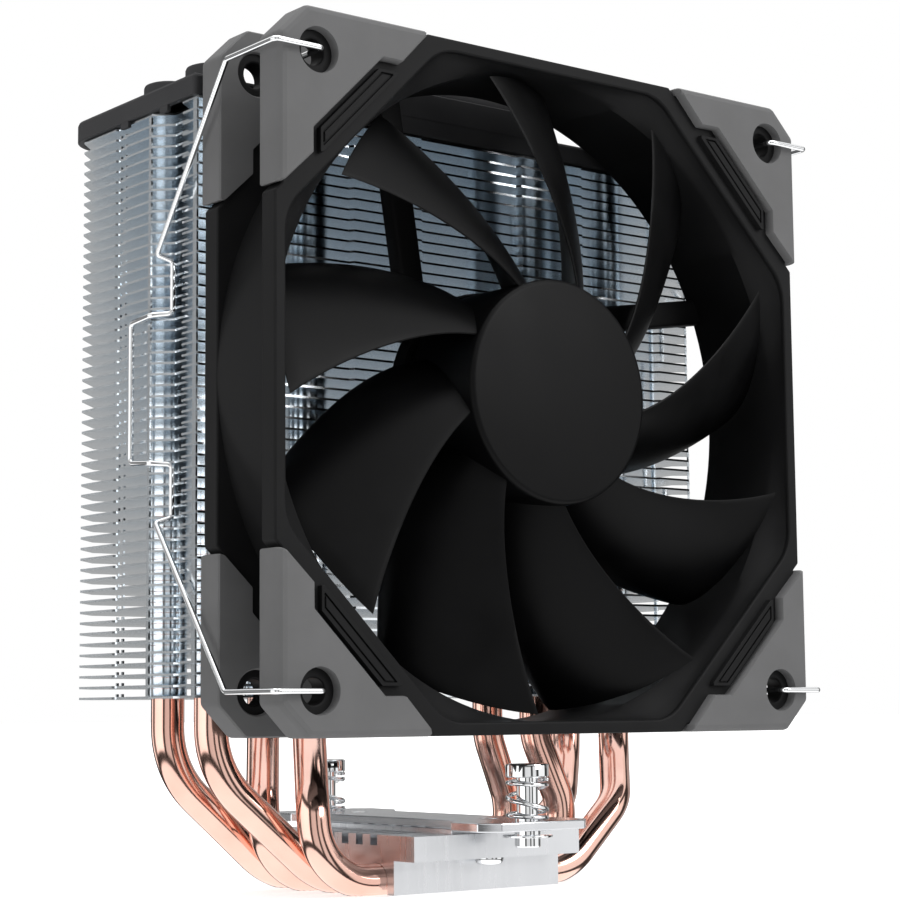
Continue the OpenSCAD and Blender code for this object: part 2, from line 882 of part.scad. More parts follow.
// Wire space between two poles, as a part of a ring
module stator_slot() {
    difference() {
        fan_ring(stator_r - pole_tip_t, stator_core_r, stator_front_y - 1, stator_rear_y + 1);
        for (wall = [45, -45])
            rotate([0, wall, 0])
                translate([-pole_w / 2, stator_front_y - 2, -20])
                    cube([pole_w, 10, 40]);
        translate([-20, stator_front_y - 2, -20])
            cube([40, 10, 20]);
    }
    translate([-slot_mouth_w / 2, stator_front_y - 1, stator_core_r])
        cube([slot_mouth_w, 8, 10]);
}

module stator_core() {
    color(steel)
        at_fan()
            difference() {
                fan_ring(stator_r, tube_r + press_gap, stator_front_y, stator_rear_y);
                for (turn = [45 : 90 : 315])
                    rotate([0, turn, 0])
                        stator_slot();
            }
}

// Four coils, one round each pole of the stator
module stator_windings() {
    coil_in = stator_core_r + 0.3;
    coil_h = stator_r - pole_tip_t - 0.9 - coil_in;
    core_l = stator_rear_y - stator_front_y;
    color(enamel_wire)
        at_fan()
            for (turn = [0 : 90 : 270])
                rotate([0, turn, 0])
                    difference() {
                        translate([-coil_w / 2, stator_front_y - coil_overhang, coil_in])
                            cube([coil_w, core_l + 2 * coil_overhang, coil_h]);
                        translate([-pole_w / 2 - 0.05, stator_front_y - 0.05, 0])
                            cube([pole_w + 0.1, core_l + 0.1, 20]);
                    }
}

module circuit_board() {
    color(board_green)
        at_fan()
            fan_ring(yoke_r - 1.6, tube_r + 0.1, board_front_y, board_front_y + board_t);
}

module motor_label() {
    color(label_grey)
        at_fan()
            fan_ring(motor_plate_r - rim_t - 0.3, 0, motor_plate_y + motor_plate_t,
                motor_plate_y + motor_plate_t + 0.2);
}

// ---------- corner pads ----------

// Outline of the pad at the top right corner
module pad_outline() {
    s = fan_size / 2;
    end = s - 30.4;
    step = s - 6.7;
    polygon([[s, end], [s, pad_corner - s], [pad_corner - s, s], [end, s],
        [end + 0.3, s - 1.2], [pad_reach - step, step], [pad_step - step, step],
        [step, pad_step - step], [step, pad_reach - step], [s - 1.2, end + 0.3]]);
}

// A rubber pad that wraps one corner of a flange. It is drawn at the top right of the
// front and mirrored into place.
module corner_pad(x, z, rear) {
    color(rubber_grey)
        at_fan()
            translate([0, rear ? fan_depth : 0, 0])
                mirror([x < 0 ? 1 : 0, 0, 0])
                    mirror([0, 0, z < 0 ? 1 : 0])
                        mirror([0, rear ? 1 : 0, 0])
                            difference() {
                                fan_plate(0, pad_t)
                                    pad_outline();
                                fan_plate(face_y - pocket_gap, face_y + flange_t + pocket_gap)
                                    pad_pocket();
                                translate([hole_spacing / 2, 0, hole_spacing / 2])
                                    fan_ring(pad_hole_r, 0, -1, pad_t + 1);
                                fan_ring(duct_outer_r + 0.1, 0, face_y, pad_t + 1);
                            }
}

// The pad's pocket: the corner of the flange, a little enlarged
module pad_pocket() {
    s = fan_size / 2;
    inner = s - pad_skin + pocket_gap;
    cut = pad_corner - 2 * pad_skin + pocket_gap * sqrt(2) - inner;
    reach = pad_reach - inner + 2 * pocket_gap;
    outer_reach = pad_reach - s + pocket_gap;
    polygon([[0, 0], [s + 1, 0], [s + 1, outer_reach], [inner, reach], [inner, cut],
        [cut, inner], [reach, inner], [outer_reach, s + 1], [0, s + 1]]);
}

module front_pad_top_left() {
    corner_pad(-1, 1, false);
}

module front_pad_top_right() {
    corner_pad(1, 1, false);
}

module front_pad_bottom_left() {
    corner_pad(-1, -1, false);
}

module front_pad_bottom_right() {
    corner_pad(1, -1, false);
}

module rear_pad_top_left() {
    corner_pad(-1, 1, true);
}

module rear_pad_top_right() {
    corner_pad(1, 1, true);
}

module rear_pad_bottom_left() {
    corner_pad(-1, -1, true);
}

module rear_pad_bottom_right() {
    corner_pad(1, -1, true);
}

// ---------- wire clips ----------

// Upper half of the left clip in the fan's own x, depth and z: from its tip in the frame
// hole out past the side, back to the notch in the fins, down in the notch and out again
// to the handle
function clip_half() =
    let (hole = hole_spacing / 2, out = stack_w / 2 + 1.8, notch = stack_w / 2 - 1.8,
        handle = stack_w / 2 + 1.2)
    [[-hole, 8, hole], [-hole, -1.1, hole], [-out, -1.1, hole], [-out, 13.7, hole],
     [-out + 0.9, 37.4, 23.4], [-notch, 36.6, 22.4], [-notch, 36.6, 13.2],
     [-handle, 39, 12.9], [-handle, 45.6, 12.4]];
clip_bends = [0.9, 0.9, 1.2, 0.7, 0.8, 0.8, 1, 1];

module wire_clip(side) {
    half = [for (p = clip_half()) [-side * p[0], p[1], p[2]]];
    last = len(half) - 1;
    points = concat(half, [for (i = [last : -1 : 0]) [half[i][0], half[i][1], -half[i][2]]]);
    bends = concat(clip_bends, [for (i = [len(clip_bends) - 1 : -1 : 0]) clip_bends[i]]);
    color(chrome)
        at_fan()
            bent_bar(points, bends, clip_wire_r);
}

module left_wire_clip() {
    wire_clip(-1);
}

module right_wire_clip() {
    wire_clip(1);
}

// ---------- parts ----------

base_block();
base_cap();
mounting_bar();
bar_fixing_screws();
front_mounting_screw();
front_screw_spring();
front_retaining_ring();
rear_mounting_screw();
rear_screw_spring();
rear_retaining_ring();
heat_pipe_1();
heat_pipe_2();
heat_pipe_3();
heat_pipe_4();
fin_stack();
fin_collars();
top_cover();
fan_frame();
impeller();
rotor_yoke();
magnet_ring();
motor_shaft();
shaft_clip();
bearing_sleeve();
thrust_pad();
stator_core();
stator_windings();
circuit_board();
motor_label();
front_pad_top_left();
front_pad_top_right();
front_pad_bottom_left();
front_pad_bottom_right();
rear_pad_top_left();
rear_pad_top_right();
rear_pad_bottom_left();
rear_pad_bottom_right();
left_wire_clip();
right_wire_clip();
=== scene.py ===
import math

import bmesh
import bpy
from mathutils import Matrix, Vector
from mathutils.geometry import tessellate_polygon


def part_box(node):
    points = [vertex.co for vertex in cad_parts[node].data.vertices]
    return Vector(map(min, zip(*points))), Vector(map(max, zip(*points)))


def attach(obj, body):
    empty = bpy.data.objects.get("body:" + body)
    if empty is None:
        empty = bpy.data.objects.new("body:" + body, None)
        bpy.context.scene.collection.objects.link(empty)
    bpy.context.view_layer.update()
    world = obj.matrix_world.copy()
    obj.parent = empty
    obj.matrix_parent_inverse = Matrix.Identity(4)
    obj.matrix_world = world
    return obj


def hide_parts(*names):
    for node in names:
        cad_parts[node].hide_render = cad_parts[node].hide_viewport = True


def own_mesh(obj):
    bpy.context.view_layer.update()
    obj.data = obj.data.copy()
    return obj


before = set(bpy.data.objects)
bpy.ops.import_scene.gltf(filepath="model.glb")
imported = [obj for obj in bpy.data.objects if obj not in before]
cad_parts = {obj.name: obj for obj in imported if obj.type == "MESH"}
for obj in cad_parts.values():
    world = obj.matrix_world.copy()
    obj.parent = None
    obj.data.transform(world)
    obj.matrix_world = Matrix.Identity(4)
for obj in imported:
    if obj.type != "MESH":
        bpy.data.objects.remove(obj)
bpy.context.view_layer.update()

# The visual model of the tower cooler. Shapes are worked out in millimetres, in the row frame
# or in the fan's own frame (x to the right, depth back from the pads, z up from its centre),
# and turned into metres when a piece is made.

MM = 0.001


def low(node):
    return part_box(node)[0] / MM


def high(node):
    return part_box(node)[1] / MM


# ---------- sizes, from the frame ----------

FAN_FRONT = low("front_pad_top_left").y
FAN_Z = (low("fan_frame").z + high("fan_frame").z) / 2
FAN_HALF = high("fan_frame").x
FAN_DEPTH = high("rear_pad_top_left").y - FAN_FRONT
HOLE = 52.5
FACE = 1.8
FLANGE_T = 4
DUCT_R = 57.8
DUCT_OUTER = 59.9
HUB_R = 20.1
TIP_R = 56.8
BLADES = 9

# The pads' sides: thickness, and x + z on their cut corner, their notch's ends and its middle.
PAD_SKIN = 1.4
PAD_T = 6.5
PAD_CORNER = 114.6
PAD_REACH = 88.4
PAD_STEP = 92.6

STACK_X = high("fin_stack").x
STACK_FRONT = low("fin_stack").y
STACK_REAR = high("fin_stack").y
STACK_LOW = low("fin_stack").z
STACK_TOP = high("fin_stack").z
FINS = 54
FIN_T = 0.4
FIN_PITCH = (STACK_TOP - STACK_LOW - FIN_T) / (FINS - 1)

PIPE_R = 3.0
PIPE_AXIS_Z = 2.4
PIPE_PITCH = 8
PIPE_TOP = high("heat_pipe_1").z
OUTER_LEG = 47.2
INNER_LEG = 26.7
REAR_LEG = 13.0
FRONT_LEG = -1.7
LEGS = [(x, y) for x in (-OUTER_LEG, -INNER_LEG, INNER_LEG, OUTER_LEG)
        for y in (FRONT_LEG, REAR_LEG)]

COVER_LOW = low("top_cover").z
COVER_TOP = COVER_LOW + 3.8
BOSS_TOP = high("top_cover").z
PANEL_TOP = BOSS_TOP - 0.6

BLOCK_LOW, BLOCK_HIGH = low("base_block"), high("base_block")
CAP_LOW, CAP_HIGH = low("base_cap"), high("base_cap")
BAR_LOW, BAR_HIGH = low("mounting_bar"), high("mounting_bar")
SCREW_LOW, SCREW_HIGH = low("front_mounting_screw"), high("front_mounting_screw")
SCREW_Y = -(SCREW_LOW.y + SCREW_HIGH.y) / 2
SCREW_HEAD_R = 3.85
SCREW_HEAD_LOW = SCREW_HIGH.z - 2.4
SPRING_WIRE_R = 0.38
FIXING_Y = 20.2
CLIP_WIRE_R = 0.5


# ---------- outlines in a plane ----------

def circle(cx, cy, radius, count=48):
    turns = [2 * math.pi * i / count for i in range(count)]
    return [(cx + radius * math.cos(a), cy + radius * math.sin(a)) for a in turns]


def rounded(points, radii, steps):
    """Closed outline with each corner rounded to its radius."""
    loop = []
    for i, radius in enumerate(radii):
        corner = Vector(points[i])
        to_last = (Vector(points[i - 1]) - corner).normalized()
        to_next = (Vector(points[(i + 1) % len(points)]) - corner).normalized()
        half = math.acos(max(-1, min(1, to_last.dot(to_next)))) / 2
        centre = corner + (to_last + to_next).normalized() * (radius / math.sin(half))
        start = corner + to_last * (radius / math.tan(half)) - centre
        sweep = math.pi - 2 * half
        if to_last.x * to_next.y - to_last.y * to_next.x > 0:
            sweep = -sweep
        for k in range(steps + 1):
            a = sweep * k / steps
            loop.append((centre.x + start.x * math.cos(a) - start.y * math.sin(a),
                         centre.y + start.x * math.sin(a) + start.y * math.cos(a)))
    return loop


class Outline:
    """A closed outline of straight sides with rounded corners, which can be drawn in. Each side
    may have its own share of the distance."""

    def __init__(self, points, radii, steps=6, shares=None):
        count = len(points)
        radii = list(radii) if isinstance(radii, (list, tuple)) else [radii] * count
        shares = list(shares) if shares else [1] * count
        if area(points) < 0:
            points = points[::-1]
            radii = radii[::-1]
            shares = shares[-2::-1] + shares[-1:]
        self.points, self.radii, self.steps, self.shares = points, radii, steps, shares

    def drawn_in(self, distance):
        count = len(self.points)
        radii = []
        for i, radius in enumerate(self.radii):
            last, here, following = (Vector(self.points[k % count]) for k in (i - 1, i, i + 1))
            a, b = here - last, following - here
            outward = a.x * b.y - a.y * b.x > 0
            change = distance * (self.shares[i - 1] + self.shares[i]) / 2
            radii.append(max(0.04, radius - change if outward else radius + change))
        return rounded(inset(self.points, distance, self.shares), radii, self.steps)


def area(loop):
    pairs = zip(loop, loop[1:] + loop[:1])
    return sum(a[0] * b[1] - b[0] * a[1] for a, b in pairs) / 2


def inset(loop, distance, shares=None):
    """The outline moved to its left by a distance, or each side by its share of it."""
    count = len(loop)
    lines = []
    for i in range(count):
        a, b = Vector(loop[i]), Vector(loop[(i + 1) % count])
        normal = Vector((a.y - b.y, b.x - a.x)).normalized()
        lines.append((normal, distance * (shares[i] if shares else 1)))
    moved = []
    for i in range(count):
        (na, da), (nb, db) = lines[i - 1], lines[i]
        cross = na.x * nb.y - na.y * nb.x
        if abs(cross) < 0.02:
            shift = (na + nb).normalized() * ((da + db) / 2)
        else:
            shift = Vector(((da * nb.y - db * na.y) / cross, (db * na.x - da * nb.x) / cross))
        moved.append((loop[i][0] + shift.x, loop[i][1] + shift.y))
    return moved


def reach(loop, angle):
    """How far the outline is from its centre in one direction."""
    dx, dy = math.cos(angle), math.sin(angle)
    best = 0
    for (ax, ay), (bx, by) in zip(loop, loop[1:] + loop[:1]):
        ex, ey = bx - ax, by - ay
        cross = dx * ey - dy * ex
        if abs(cross) < 1e-9:
            continue
        along = (ax * ey - ay * ex) / cross
        share = (ax * dy - ay * dx) / cross
        if along > best and -1e-6 <= share <= 1 + 1e-6:
            best = along
    return best


# ---------- shapes ----------

class Shape:
    """A mesh in the making: vertices in millimetres, faces, and edges that stay sharp."""

    def __init__(self):
        self.verts = []
        self.faces = []
        self.sharp = []

    def add(self, verts, faces, sharp=()):
        start = len(self.verts)
        self.verts += [tuple(v) for v in verts]
        self.faces += [tuple(start + i for i in face) for face in faces]
        self.sharp += [(start + a, start + b) for a, b in sharp]
        return self

    def join(self, other, change=lambda v: v):
        return self.add([change(v) for v in other.verts], other.faces, other.sharp)


def flat(x, y, h):
    """Drawn in x and y, thick along z."""
    return (x, y, h)


def facing(x, z, depth):
    """Drawn in the fan's x and z, thick along its depth."""
    return (x, FAN_FRONT + depth, FAN_Z + z)


def at(x, y):
    """Stands a shape that is drawn round its own upright axis at a point."""
    return lambda u, v, h: (x + u, y + v, h)


def rim(start, count):
    """Edges round a ring of vertices."""
    return [(start + i, start + (i + 1) % count) for i in range(count)]


def band(start, count, step):
    """Faces between a ring of vertices and the ring that starts a step further on."""
    return [(a, b, b + step, a + step) for a, b in rim(start, count)]


def filled(loops, start=0):
    """Triangles that fill the first loop, less the holes that the others leave."""
    level = [[Vector((p[0], p[1], 0)) for p in loop] for loop in loops]
    return [tuple(start + i for i in t) for t in tessellate_polygon(level)]


def prism(loops, levels, place=flat, hole_share=1):
    """A plate between the first level and the last. The first loop is its outline, the rest are
    holes, and each level is (how far the edge is drawn in, height)."""
    loops = [loop if isinstance(loop, Outline) or (area(loop) > 0) == (i == 0) else loop[::-1]
             for i, loop in enumerate(loops)]
    rows = []
    for drawn_in, _ in levels:
        row = []
        for i, loop in enumerate(loops):
            if isinstance(loop, Outline):
                moved = loop.drawn_in(drawn_in if i == 0 else -drawn_in * hole_share)
                row.append(moved if i == 0 else moved[::-1])
            else:
                row.append(inset(loop, drawn_in * hole_share))
        rows.append(row)
    verts, faces, sharp = [], [], []
    counts = [len(loop) for loop in rows[0]]
    size, last = sum(counts), len(levels) - 1
    for level, (drawn_in, height) in enumerate(levels):
        verts += [place(p[0], p[1], height) for loop in rows[level] for p in loop]
        start = level * size
        for count in counts:
            if level < last:
                faces += band(start, count, size)
            if drawn_in == 0 or level in (0, last):
                sharp += rim(start, count)
            start += count
    for level in (0, last):
        faces += filled(rows[level], level * size)
    return Shape().add(verts, faces, sharp)


def edged(bottom, top, edge, steps=2):
    """Levels of a plate whose edges are rounded."""
    turns = [math.pi / 2 * k / steps for k in range(steps + 1)]
    rise = [(edge * (1 - math.sin(a)), edge * (1 - math.cos(a))) for a in turns]
    below = [(drawn, bottom + up) for drawn, up in rise]
    above = [(drawn, top - up) for drawn, up in reversed(rise)]
    return [(round(d, 6), h) for d, h in below + above]


def lathe(profile, place, count=96, closed=False):
    """A turned shape. The profile is (radius, height); place maps x, y and height."""
    verts, faces, sharp, rings = [], [], [], []
    for radius, height in profile:
        start = len(verts)
        ring = circle(0, 0, radius, count) if radius > 0 else [(0, 0)]
        verts += [place(p[0], p[1], height) for p in ring]
        rings.append(range(start, len(verts)))
    pairs = list(zip(rings, rings[1:])) + ([(rings[-1], rings[0])] if closed else [])
    for a, b in pairs:
        for i in range(count):
            j = (i + 1) % count
            face = [a[i % len(a)], a[j % len(a)], b[j % len(b)], b[i % len(b)]]
            face = [v for k, v in enumerate(face) if v not in face[:k]]
            if len(face) > 2:
                faces.append(tuple(face))
    total = len(profile)
    for k, ring in enumerate(rings):
        if len(ring) == 1 or (not closed and k in (0, total - 1)):
            continue
        here = Vector(profile[k])
        before = (here - Vector(profile[k - 1])).normalized()
        after = (Vector(profile[(k + 1) % total]) - here).normalized()
        if before.dot(after) < 0.8:
            sharp += rim(ring[0], count)
    return Shape().add(verts, faces, sharp)


def bent(points, bends, step=9):
    """The line through the points with rounded corners, as points close together on the bends."""
    points = [Vector(p) for p in points]
    line = [points[0]]
    for i, radius in enumerate(bends):
        last, corner, following = points[i:i + 3]
        back = (last - corner).normalized()
        ahead = (following - corner).normalized()
        half = math.acos(max(-1, min(1, back.dot(ahead)))) / 2
        centre = corner + (back + ahead).normalized() * (radius / math.sin(half))
        start = corner + back * (radius / math.tan(half)) - centre
        end = corner + ahead * (radius / math.tan(half)) - centre
        sweep = math.pi - 2 * half
        count = max(3, round(math.degrees(sweep) / step))
        for k in range(count + 1):
            share = k / count
            mixed = (start * math.sin((1 - share) * sweep) + end * math.sin(share * sweep))
            line.append(centre + mixed / math.sin(sweep))
    line.append(points[-1])
    return line


def tube(line, radius, sides=24):
    """A round bar along a line of points, with rounded ends."""
    line = [Vector(p) for p in line]
    last = len(line) - 1
    tangents = [(line[min(i + 1, last)] - line[max(i - 1, 0)]).normalized()
                for i in range(last + 1)]
    side = tangents[0].orthogonal().normalized()
    stations = []
    for point, tangent in zip(line, tangents):
        side = (side - tangent * side.dot(tangent)).normalized()
        stations.append((point, side.copy(), tangent.cross(side), radius))
    dome = [(0.31, 0.95), (0.72, 0.7), (0.97, 0.25)]
    (start, u, w, _), (end, far_u, far_w, _) = stations[0], stations[-1]
    head = [(start - tangents[0] * radius * out, u, w, radius * size) for size, out in dome]
    tail = [(end + tangents[-1] * radius * out, far_u, far_w, radius * size)
            for size, out in reversed(dome)]
    stations = head + stations + tail
    last = len(stations) - 1
    verts = [point + u * p[0] + w * p[1] for point, u, w, size in stations
             for p in circle(0, 0, size, sides)]
    faces = [face for i in range(last) for face in band(i * sides, sides, sides)]
    faces += [tuple(range(sides)), tuple(range(last * sides, (last + 1) * sides))]
    return Shape().add(verts, faces)


def plate_ring(outline, hole, height, place):
    """A flat face between an outline and a hole in it."""
    verts = [place(p[0], p[1], height) for loop in (outline, hole) for p in loop]
    return Shape().add(verts, filled([outline, hole]))


def pocket(outline, top, bottom, place):
    """The walls and the floor of a recess."""
    count = len(outline)
    verts = [place(p[0], p[1], h) for h in (top, bottom) for p in outline]
    return Shape().add(verts, band(0, count, count) + filled([outline], count))


def box(x0, x1, y0, y1, z0, z1):
    return prism([[(x0, y0), (x1, y0), (x1, y1), (x0, y1)]], [(0, z0), (0, z1)])


def both_sides(shape):
    return Shape().join(shape).join(shape, lambda v: (-v[0], v[1], v[2]))


# ---------- materials ----------

def new_material(name):
    material = bpy.data.materials.new(name)
    material.use_nodes = True
    tree = material.node_tree
    return material, tree, tree.nodes["Principled BSDF"]


def noise(tree, scale, detail, stretch=(1, 1, 1)):
    """Noise in the piece's own metres, stretched along an axis for rolled or brushed metal."""
    place = tree.nodes.new("ShaderNodeTexCoord")
    mapping = tree.nodes.new("ShaderNodeMapping")
    mapping.inputs["Scale"].default_value = stretch
    texture = tree.nodes.new("ShaderNodeTexNoise")
    texture.inputs["Scale"].default_value = scale
    texture.inputs["Detail"].default_value = detail
    texture.inputs["Roughness"].default_value = 0.6
    tree.links.new(place.outputs["Object"], mapping.inputs["Vector"])
    tree.links.new(mapping.outputs["Vector"], texture.inputs["Vector"])
    return texture.outputs["Fac"]


def spread(tree, value, lowest, highest):
    """Turns a noise value into a number between two limits."""
    node = tree.nodes.new("ShaderNodeMapRange")
    node.inputs["From Min"].default_value = 0.3
    node.inputs["From Max"].default_value = 0.7
    node.inputs["To Min"].default_value = lowest
    node.inputs["To Max"].default_value = highest
    tree.links.new(value, node.inputs["Value"])
    return node.outputs["Result"]


def tint(tree, value, first, second):
    """Blends two colours by a noise value."""
    ramp = tree.nodes.new("ShaderNodeValToRGB")
    ramp.color_ramp.elements[0].position = 0.35
    ramp.color_ramp.elements[1].position = 0.65
    ramp.color_ramp.elements[0].color = (*first, 1)
    ramp.color_ramp.elements[1].color = (*second, 1)
    tree.links.new(value, ramp.inputs["Fac"])
    return ramp.outputs["Color"]


def bump(tree, shader, value, strength, distance):
    node = tree.nodes.new("ShaderNodeBump")
    node.inputs["Strength"].default_value = strength
    node.inputs["Distance"].default_value = distance
    tree.links.new(value, node.inputs["Height"])
    tree.links.new(node.outputs["Normal"], shader.inputs["Normal"])


def plastic(name, dark, light, rough, grain=0.25, specular=0.5):
    """Moulded plastic or rubber: a fine eroded grain, faint colour and gloss changes."""
    material, tree, shader = new_material(name)
    broad = noise(tree, 90, 3)
    fine = noise(tree, 5200, 3)
    tree.links.new(tint(tree, broad, dark, light), shader.inputs["Base Color"])
    tree.links.new(spread(tree, broad, rough - 0.04, rough + 0.05), shader.inputs["Roughness"])
    shader.inputs["Specular IOR Level"].default_value = specular
    bump(tree, shader, fine, grain, 0.00004)
    return material


def metal(name, dark, light, rough, vary=0.05, stretch=(1, 1, 1), scale=400, grain=0.1):
    """Bare metal: drawn, rolled or brushed marks along the axis with the small stretch."""
    material, tree, shader = new_material(name)
    broad = noise(tree, 60, 3)
    marks = noise(tree, scale, 5, stretch)
    shader.inputs["Metallic"].default_value = 1
    tree.links.new(tint(tree, broad, dark, light), shader.inputs["Base Color"])
    tree.links.new(spread(tree, marks, rough - vary, rough + vary), shader.inputs["Roughness"])
    bump(tree, shader, marks, grain, 0.00003)
    return material


def layered(name, direction, scale, distortion, rough, dark, light, strength, depth):
    """Metal in fine layers across one direction: stacked sheets, or wire laid side by side."""
    material, tree, shader = new_material(name)
    place = tree.nodes.new("ShaderNodeTexCoord")
    wave = tree.nodes.new("ShaderNodeTexWave")
    wave.bands_direction = direction
    wave.inputs["Scale"].default_value = scale
    wave.inputs["Distortion"].default_value = distortion
    tree.links.new(place.outputs["Object"], wave.inputs["Vector"])
    shader.inputs["Metallic"].default_value = 1
    shader.inputs["Roughness"].default_value = rough
    tree.links.new(tint(tree, wave.outputs["Fac"], dark, light), shader.inputs["Base Color"])
    bump(tree, shader, wave.outputs["Fac"], strength, depth)
    return material


def board(name):
    """Green solder mask over faint square tracks."""
    material, tree, shader = new_material(name)
    place = tree.nodes.new("ShaderNodeTexCoord")
    tracks = tree.nodes.new("ShaderNodeTexVoronoi")
    tracks.distance = "MANHATTAN"
    tracks.inputs["Scale"].default_value = 420
    tree.links.new(place.outputs["Object"], tracks.inputs["Vector"])
    shader.inputs["Roughness"].default_value = 0.3
    colours = tint(tree, tracks.outputs["Distance"], (0.01, 0.09, 0.04), (0.02, 0.16, 0.07))
    tree.links.new(colours, shader.inputs["Base Color"])
    return material


FRAME_BLACK = plastic("frame_black", (0.010, 0.010, 0.0104), (0.0125, 0.0125, 0.0129), 0.5, 0.2,
                      0.09)
BLADE_BLACK = plastic("blade_black", (0.002, 0.002, 0.0022), (0.003, 0.003, 0.0033), 0.42, 0.15,
                      0.11)
COVER_GREY = plastic("cover_charcoal", (0.032, 0.032, 0.034), (0.04, 0.04, 0.042), 0.5, 0.25, 0.15)
PAD_GREY = plastic("pad_rubber", (0.128, 0.128, 0.129), (0.142, 0.142, 0.144), 0.7, 0.35, 0.2)
FIN_METAL = metal("fin_aluminium", (0.85, 0.90, 0.94), (0.89, 0.93, 0.96), 0.17, 0.02,
                  (0.05, 1, 1), 300, 0.006)
COPPER = metal("copper", (0.84, 0.50, 0.41), (0.92, 0.60, 0.50), 0.11, 0.02,
               (1, 1, 0.08), 500, 0.02)
BASE_METAL = metal("milled_aluminium", (0.70, 0.71, 0.73), (0.74, 0.75, 0.77), 0.3, 0.04,
                   (1, 1, 0.05), 1500, 0.004)
BAR_METAL = metal("bar_steel", (0.66, 0.67, 0.69), (0.72, 0.73, 0.75), 0.2, 0.03,
                  (1, 0.05, 1), 900, 0.01)
CHROME = metal("chrome", (0.82, 0.83, 0.84), (0.88, 0.89, 0.90), 0.05, 0.02, (1, 1, 1), 300, 0.01)
STEEL = metal("plain_steel", (0.42, 0.43, 0.44), (0.52, 0.53, 0.55), 0.32)
MAGNET = plastic("magnet", (0.06, 0.057, 0.055), (0.09, 0.085, 0.08), 0.6, 0.5)
BRONZE = metal("bearing_bronze", (0.55, 0.36, 0.16), (0.66, 0.46, 0.22), 0.36, 0.06,
               (1, 1, 1), 2500, 0.3)
NYLON = plastic("white_nylon", (0.72, 0.71, 0.68), (0.80, 0.79, 0.76), 0.45, 0.1)
LABEL = metal("label_foil", (0.40, 0.41, 0.42), (0.48, 0.49, 0.50), 0.38, 0.06,
              (0.1, 1, 1), 1500, 0.05)
LAMINATIONS = layered("stator_laminations", "Y", 320, 0.4, 0.42, (0.16, 0.16, 0.17),
                      (0.42, 0.43, 0.45), 0.4, 0.00005)
WINDINGS = layered("winding_wire", "DIAGONAL", 700, 0, 0.3, (0.28, 0.09, 0.03),
                   (0.74, 0.33, 0.13), 0.8, 0.0001)
BOARD = board("circuit_board_green")


# ---------- making a piece ----------

SMOOTH_ANGLE = math.radians(32)


def piece(name, shape, body, material, slot, *replaced):
    """Makes one piece of the model and ties it to its CAD body."""
    mesh = bpy.data.meshes.new(name)
    mesh.from_pydata([Vector(v) * MM for v in shape.verts], [], shape.faces)
    sharp = {tuple(sorted(edge)) for edge in shape.sharp}
    work = bmesh.new()
    work.from_mesh(mesh)
    bmesh.ops.recalc_face_normals(work, faces=work.faces)
    work.to_mesh(mesh)
    work.free()
    mesh.shade_smooth()
    mesh.set_sharp_from_angle(angle=SMOOTH_ANGLE)
    for edge in mesh.edges:
        if tuple(sorted(edge.vertices)) in sharp:
            edge.use_edge_sharp = True
    mesh.materials.append(material)
    item = bpy.data.objects.new(name, mesh)
    bpy.context.scene.collection.objects.link(item)
    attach(item, body)
    if replaced:
        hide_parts(*replaced)
    return item


def finish_of(node, material):
    """Gives a CAD node that is shown as it is its material."""
    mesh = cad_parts[node].data
    mesh.materials.clear()
    mesh.materials.append(material)


# ---------- base ----------

def block_section():
    """Section of the contact block across the pipes, in y and z, with its four grooves."""
    half = BLOCK_HIGH.y
    groove = PIPE_R + 0.05
    loop = [(half, BLOCK_HIGH.z), (-half, BLOCK_HIGH.z), (-half, 0)]
    for i in (-1.5, -0.5, 0.5, 1.5):
        y = PIPE_PITCH * i
        turns = [math.pi * (1 - k / 24) for k in range(25)]
        arch = [(y + groove * math.cos(a), PIPE_AXIS_Z + groove * math.sin(a)) for a in turns]
        loop += [(y - groove, 0)] + arch + [(y + groove, 0)]
    return loop + [(half, 0)]


def across(y, z, x):
    """A section drawn in y and z, long along x."""
    return (x, y, z)


def make_base():
    block = prism([block_section()], [(0, BLOCK_LOW.x), (0, BLOCK_HIGH.x)], across)
    piece("contact_block", block, "cooler", BASE_METAL, "base_aluminium", "base_block")
    piece("slotted_cap", cap_shape(), "cooler", BASE_METAL, "base_aluminium", "base_cap")
    piece("sprung_bar", bar_shape(), "cooler", BAR_METAL, "bar_steel", "mounting_bar")
    screws = Shape()
    for side in (-1, 1):
        screws.join(lathe(fixing_profile(), at(0, side * FIXING_Y), 40))
    piece("bar_screws", screws, "cooler", CHROME, "screw_chrome", "bar_fixing_screws")


def cap_shape():
    """The upper plate: slots along both sides, and a raised land in the middle."""
    top = CAP_HIGH.z - 0.8
    slot_floor, slot_pitch, slot_half = top - 1.9, 4.4, 1.05
    edge, half, land = CAP_HIGH.x, CAP_HIGH.y, 7.5
    section = [(-half, CAP_LOW.z), (half, CAP_LOW.z), (half, top)]
    for i in (2.5, 1.5, 0.5, -0.5, -1.5, -2.5):
        far, near = i * slot_pitch + slot_half, i * slot_pitch - slot_half
        section += [(far, top), (far, slot_floor), (near, slot_floor), (near, top)]
    section.append((-half, top))
    cap = Shape()
    for start, end in ((-edge, -land - 1), (land + 1, edge)):
        cap.join(prism([section], [(0, start), (0, end)], across))
    middle = [(-land - 1, -half), (land + 1, -half), (land + 1, half), (-land - 1, half)]
    cap.join(prism([middle] + fixing_holes(), [(0, CAP_LOW.z), (0, top)]))
    raised = Outline([(-land, -half + 4), (land, -half + 4), (land, half - 4),
                      (-land, half - 4)], 0.5, 3)
    return cap.join(prism([raised], edged(top - 0.2, CAP_HIGH.z, 0.15)))


